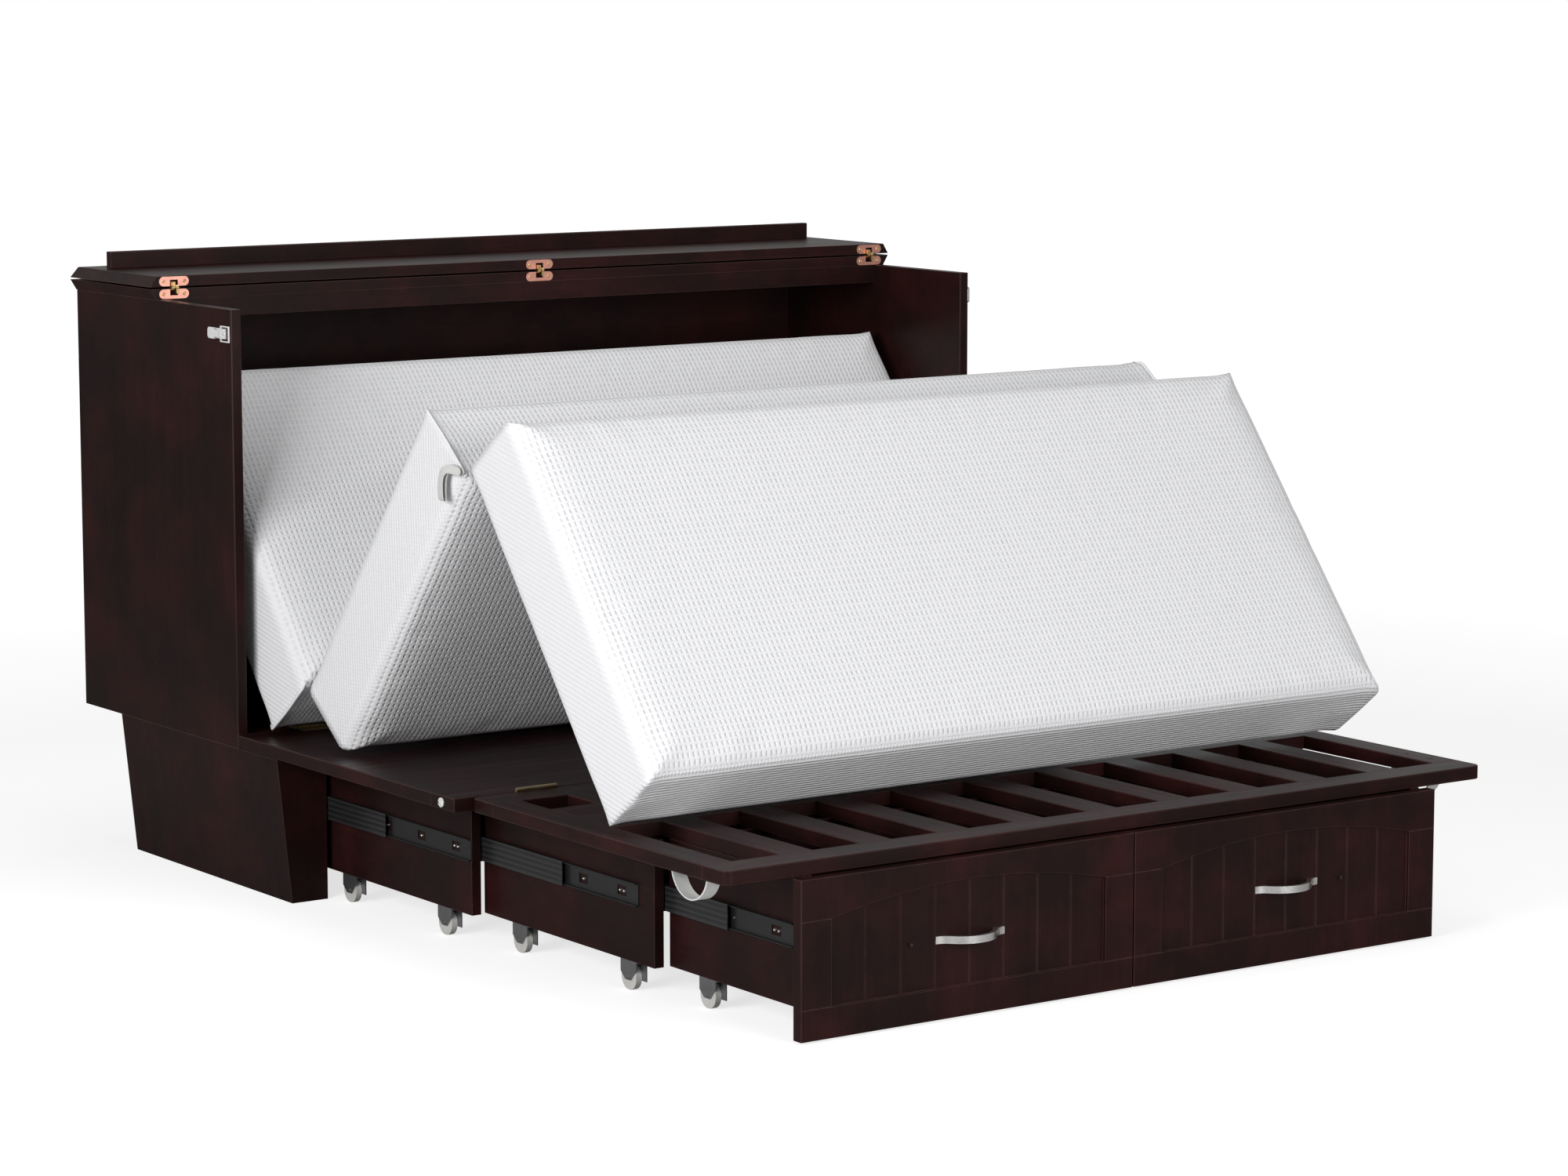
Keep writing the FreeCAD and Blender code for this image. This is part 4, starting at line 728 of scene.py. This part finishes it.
class CABINETBED_OT_fittings(bpy.types.Operator):
    """Metal and plastic on hinges, slides, casters, handles and latches"""
    bl_idname = "cabinetbed.fittings"
    bl_label = "Finish the Fittings"

    def execute(self, context):
        metal = context.scene.cabinet_bed_metal
        plastic = context.scene.cabinet_bed_plastic
        copper = cast_metal("copper", metal.copper, roughness=0.34)
        gilt = cast_metal("gilt", metal.gold, roughness=0.28)
        for node in ("lid_hinge_lower", "lid_hinge_upper"):
            finish_narrow(node, metal.plate_min, copper, gilt)
        finish(BRASS_NODES, cast_metal("brass", metal.brass, roughness=0.34))
        finish(("handles",), cast_metal("satin_nickel", metal.nickel, roughness=0.26))
        finish(INNER_SLIDES, moulded("slide_steel", metal.slide, roughness=0.34))
        finish(OUTER_SLIDES, rolled("slide_steel_ribbed", metal))
        finish(BRACKET_NODES, cast_metal("bracket_steel", metal.bracket, roughness=0.42))
        finish(WHEEL_NODES, moulded("wheel_nylon", plastic.wheel, roughness=0.4))
        finish(LATCH_NODES, moulded("latch_enamel", plastic.latch, roughness=0.3))
        finish(("pull_straps",), webbing("strap_webbing", plastic.strap))
        bright = cast_metal("screw_steel", metal.screw, roughness=0.32)
        self.plate_screws(metal, gilt)
        self.slide_screws(metal, bright)
        self.latch_fittings(metal, bright)
        self.dark_holes(metal, moulded("hole_shadow", metal.hole, roughness=0.7))
        return {"FINISHED"}

    def plate_screws(self, metal, material):
        """Two screws on each lid hinge plate."""
        for node, body in (("lid_hinge_lower", "cabinet"), ("lid_hinge_upper", "lid")):
            bm = bmesh.new()
            for _, low, high in islands(node):
                if high.x - low.x < metal.plate_min:
                    continue
                for side in (-1, 1):
                    place = ((low.x + high.x) / 2 + side * metal.plate_screws, low.y,
                             (low.z + high.z) / 2)
                    add_screw(bm, place, (0, -1, 0), metal.screw_r, metal.screw_rise)
            new_piece(node + "_screws", bm, body, [material], smooth=False)

    def slide_screws(self, metal, material):
        """Screws in the windows of the slides' inner members, with a pair in the first window."""
        for node, body in (("s1_slide_inner", "section_1"), ("s2_slide_inner", "section_2"),
                           ("s3_slide_inner", "section_3")):
            bm = bmesh.new()
            for _, low, high in islands(node):
                side = 1 if low.x > 0 else -1
                board = low.x if side > 0 else high.x
                z = (low.z + high.z) / 2
                y = low.y + metal.window_first
                offsets = (-metal.window_pair, metal.window_pair)
                while y < high.y - metal.window_last:
                    for offset in offsets:
                        add_screw(bm, (board, y + offset, z), (side, 0, 0), metal.small_screw_r,
                                  metal.window_rise)
                    offsets = (0.0,)
                    y += metal.window_pitch
            new_piece(node + "_screws", bm, body, [material], smooth=False)

    def latch_fittings(self, metal, bright):
        """Two screws on each latch plate and one on each keeper."""
        bm = bmesh.new()
        for _, low, high in islands("latch_bases"):
            side = 1 if low.x > 0 else -1
            face = high.x if side > 0 else low.x
            inset = (high.y - low.y) * metal.latch_share
            for y in (low.y + inset, high.y - inset):
                add_screw(bm, (face, y, (low.z + high.z) / 2), (side, 0, 0),
                          metal.small_screw_r, metal.latch_rise)
        new_piece("latch_screws", bm, "cabinet", [bright], smooth=False)
        bm = bmesh.new()
        for _, low, high in islands("latch_keepers"):
            side = 1 if low.x > 0 else -1
            face = high.x if side > 0 else low.x
            add_screw(bm, (face, (low.y + high.y) / 2, (low.z + high.z) / 2), (side, 0, 0),
                      metal.small_screw_r, metal.latch_rise)
        new_piece("keeper_screws", bm, "front_panel", [bright], smooth=False)

    def dark_holes(self, metal, material):
        """Countersunk holes on the drawer fronts, above the straps and on the left side panel, as
        raised dishes coloured dark as painted shade.
        """
        bm = bmesh.new()
        low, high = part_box("handles")
        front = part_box("drawer_front_left")[0][1]
        for x in (-metal.drawer_hole_x, metal.drawer_hole_x):
            add_hole(bm, (x, front, (low[2] + high[2]) / 2), (0, -1, 0), metal.small_hole_r, metal)
        new_piece("drawer_holes", bm, "section_3", [material], smooth=False)
        bm = bmesh.new()
        low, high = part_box("pull_straps")
        strap_middle = (low[1] + high[1]) / 2
        for _, low, high in islands("slat_side_rails"):
            x = high.x - metal.strap_hole_in if low.x > 0 else low.x + metal.strap_hole_in
            for step in (-metal.strap_hole_gap, metal.strap_hole_gap):
                add_hole(bm, (x, strap_middle + step, high.z), (0, 0, 1), metal.hole_r, metal)
        new_piece("rail_holes", bm, "slat_panel", [material], smooth=False)
        bm = bmesh.new()
        low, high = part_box("side_panel_left")
        for z in (metal.panel_hole_low, metal.panel_hole_high):
            add_hole(bm, (low[0], high[1] - metal.panel_hole_in, z), (-1, 0, 0),
                     metal.small_hole_r, metal)
        new_piece("panel_holes", bm, "cabinet", [material], smooth=False)


class CABINETBED_OT_mattress(bpy.types.Operator):
    """Three filled covers in place of the plain slabs"""
    bl_idname = "cabinetbed.mattress"
    bl_label = "Make the Mattress"

    def execute(self, context):
        soft = context.scene.cabinet_bed_mattress
        cloths = [
            knit_top(soft),
            knit_border(soft, "knit_ends", soft.slant, soft.end_relief),
            knit_border(soft, "knit_short_faces", 0.0, soft.short_relief),
        ]
        for node, open_end in MATTRESS_PARTS:
            slab = Slab(node)
            bm = slab_mesh(slab, soft)
            bmesh.ops.transform(bm, matrix=slab.matrix(), verts=bm.verts)
            cover = new_piece(node + "_cover", bm, node, cloths)
            inflate(cover, soft)
            dress(cover, slab, open_end)
            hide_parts(node)
            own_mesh(cover)
            if node != "mattress_front":
                cords = seam_cords(cover, node, slab, soft, cloths[1])
                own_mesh(cords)
        self.strap_loop(Slab("mattress_middle"), soft, webbing("loop_tape", soft.tape))
        return {"FINISHED"}

    def strap_loop(self, slab, soft, tape):
        """A loop of tape sewn in at the left end of the middle part's upper fold."""
        place = slab.matrix()
        # each point lies this far down the part, in from its face and out from its end
        corner = Vector((-slab.half_width, slab.half_long, slab.half_thick * self.fold_side(slab)))
        run = [(0.004, -0.004, 0.000), (0.012, -0.024, 0.008), (0.028, -0.040, 0.013),
               (0.052, -0.026, 0.014), (0.074, -0.010, 0.012)]
        reach = soft.loop_reach / run[-1][0]
        out = [self.off(corner, a * reach, b, c) for a, b, c in run]
        back = [self.off(corner, a * reach, b, c - soft.loop_gap) for a, b, c in reversed(run)]
        points = [place @ p for p in out + back]
        across = []
        for i in range(len(out)):
            step = (points[min(i + 1, len(out) - 1)] - points[max(i - 1, 0)]).normalized()
            across.append(step.cross(Vector((1, 0, 0))).normalized())
        across += list(reversed(across))
        half_w = soft.loop_w / 2
        half_t = soft.loop_t / 2
        ring = [(-half_w, -half_t, 0), (half_w, -half_t, 0), (half_w, half_t, 0), (-half_w, half_t, 0)]
        bm = bmesh.new()
        sweep(bm, along(points, across), ring)
        piece = new_piece("strap_loop", bm, "mattress_middle", [tape])
        smooth = piece.modifiers.new("smooth", "SUBSURF")
        smooth.levels = smooth.render_levels = 2

    def fold_side(self, slab):
        """Which face of the part turns to the front part: the one whose upper corner is further out."""
        ahead = slab.matrix() @ Vector((0, slab.half_long, slab.half_thick))
        behind = slab.matrix() @ Vector((0, slab.half_long, -slab.half_thick))
        return 1 if ahead.y < behind.y else -1

    def off(self, corner, down, inward, outward):
        """A point by how far it lies down the part, in from its face and out from its end."""
        side = 1 if corner.z > 0 else -1
        return Vector((corner.x - outward, corner.y - down, corner.z + side * inward))


class CABINETBED_OT_stage(bpy.types.Operator):
    """Camera, softboxes, floor and background"""
    bl_idname = "cabinetbed.stage"
    bl_label = "Set the Stage"

    def execute(self, context):
        stage = context.scene.cabinet_bed_stage
        context.scene.view_settings.view_transform = "Standard"
        camera = bpy.data.objects.new("camera", bpy.data.cameras.new("camera"))
        camera.data.sensor_width = 36
        camera.data.lens = stage.lens
        camera.data.clip_end = 60
        camera.location = stage.place
        camera.rotation_euler = (math.pi / 2 - stage.tilt, 0, -stage.turn)
        context.scene.collection.objects.link(camera)
        context.scene.camera = camera
        self.floor(stage)
        self.background(stage)
        for name, place, aim, size in SOFTBOXES:
            self.softbox(name + "_softbox", getattr(stage, name), place, aim, size)
        return {"FINISHED"}

    def softbox(self, name, power, place, aim, size):
        lamp = bpy.data.lights.new(name, "AREA")
        lamp.energy = power
        lamp.size = size
        lamp.specular_factor = 0.6
        light = bpy.data.objects.new(name, lamp)
        light.location = place
        light.rotation_euler = (Vector(aim) - Vector(place)).to_track_quat("-Z", "Y").to_euler()
        bpy.context.scene.collection.objects.link(light)

    def floor(self, stage):
        bm = bmesh.new()
        bmesh.ops.create_circle(bm, cap_ends=True, segments=64, radius=stage.floor_r)
        mesh = bpy.data.meshes.new("floor")
        bm.to_mesh(mesh)
        bm.free()
        floor = bpy.data.objects.new("floor", mesh)
        bpy.context.scene.collection.objects.link(floor)
        n = Nodes("floor")
        n.set(Base_Color=(*rgb(stage.floor), 1), Roughness=0.9, Specular_IOR_Level=0.1)
        seen = n.add("ShaderNodeLightPath").outputs["Is Camera Ray"]
        glow = n.add("ShaderNodeEmission")
        place = n.add("ShaderNodeVectorMath", operation="LENGTH")
        n.feed(n.coordinates(), place.inputs[0])
        lift = n.spread(place.outputs["Value"], stage.glow_near, stage.glow_far, stage.glow, 1.0)
        n.feed(n.math("MULTIPLY", seen, lift), glow.inputs["Strength"])
        both = n.add("ShaderNodeAddShader")
        n.feed(n.shader.outputs[0], both.inputs[0])
        n.feed(glow.outputs[0], both.inputs[1])
        n.feed(both.outputs[0], n.tree.nodes["Material Output"].inputs["Surface"])
        mesh.materials.append(n.material)

    def background(self, stage):
        world = bpy.data.worlds.new("studio")
        bpy.context.scene.world = world
        world.use_nodes = True
        tree = world.node_tree
        path = tree.nodes.new("ShaderNodeLightPath")
        level = tree.nodes.new("ShaderNodeMapRange")
        level.inputs["To Min"].default_value = stage.fill
        level.inputs["To Max"].default_value = stage.dim
        tree.links.new(path.outputs["Is Glossy Ray"], level.inputs["Value"])
        direct = tree.nodes.new("ShaderNodeMath")
        direct.operation = "MAXIMUM"
        tree.links.new(path.outputs["Is Camera Ray"], direct.inputs[0])
        tree.links.new(level.outputs["Result"], direct.inputs[1])
        background = tree.nodes["Background"]
        background.inputs["Color"].default_value = (1, 1, 1, 1)
        tree.links.new(direct.outputs[0], background.inputs["Strength"])


class CABINETBED_PT_panel(bpy.types.Panel):
    """Lists the steps that finish the bed"""
    bl_idname = "CABINETBED_PT_panel"
    bl_label = "Cabinet Bed"
    bl_space_type = "VIEW_3D"
    bl_region_type = "UI"
    bl_category = "Cabinet Bed"

    def draw(self, context):
        for operator in OPERATORS:
            self.layout.operator(operator.bl_idname)


PROPERTIES = (
    ("cabinet_bed_wood", WoodProperties),
    ("cabinet_bed_metal", MetalProperties),
    ("cabinet_bed_plastic", PlasticProperties),
    ("cabinet_bed_mattress", MattressProperties),
    ("cabinet_bed_stage", StageProperties),
)
OPERATORS = (
    CABINETBED_OT_wood,
    CABINETBED_OT_fittings,
    CABINETBED_OT_mattress,
    CABINETBED_OT_stage,
)


def register():
    for name, group in PROPERTIES:
        bpy.utils.register_class(group)
        setattr(bpy.types.Scene, name, PointerProperty(type=group))
    for operator in OPERATORS:
        bpy.utils.register_class(operator)
    bpy.utils.register_class(CABINETBED_PT_panel)


def unregister():
    bpy.utils.unregister_class(CABINETBED_PT_panel)
    for operator in reversed(OPERATORS):
        bpy.utils.unregister_class(operator)
    for name, group in reversed(PROPERTIES):
        delattr(bpy.types.Scene, name)
        bpy.utils.unregister_class(group)


def main():
    register()
    bpy.ops.cabinetbed.wood()
    bpy.ops.cabinetbed.fittings()
    bpy.ops.cabinetbed.mattress()
    bpy.ops.cabinetbed.stage()


if __name__ == "__main__":
    main()
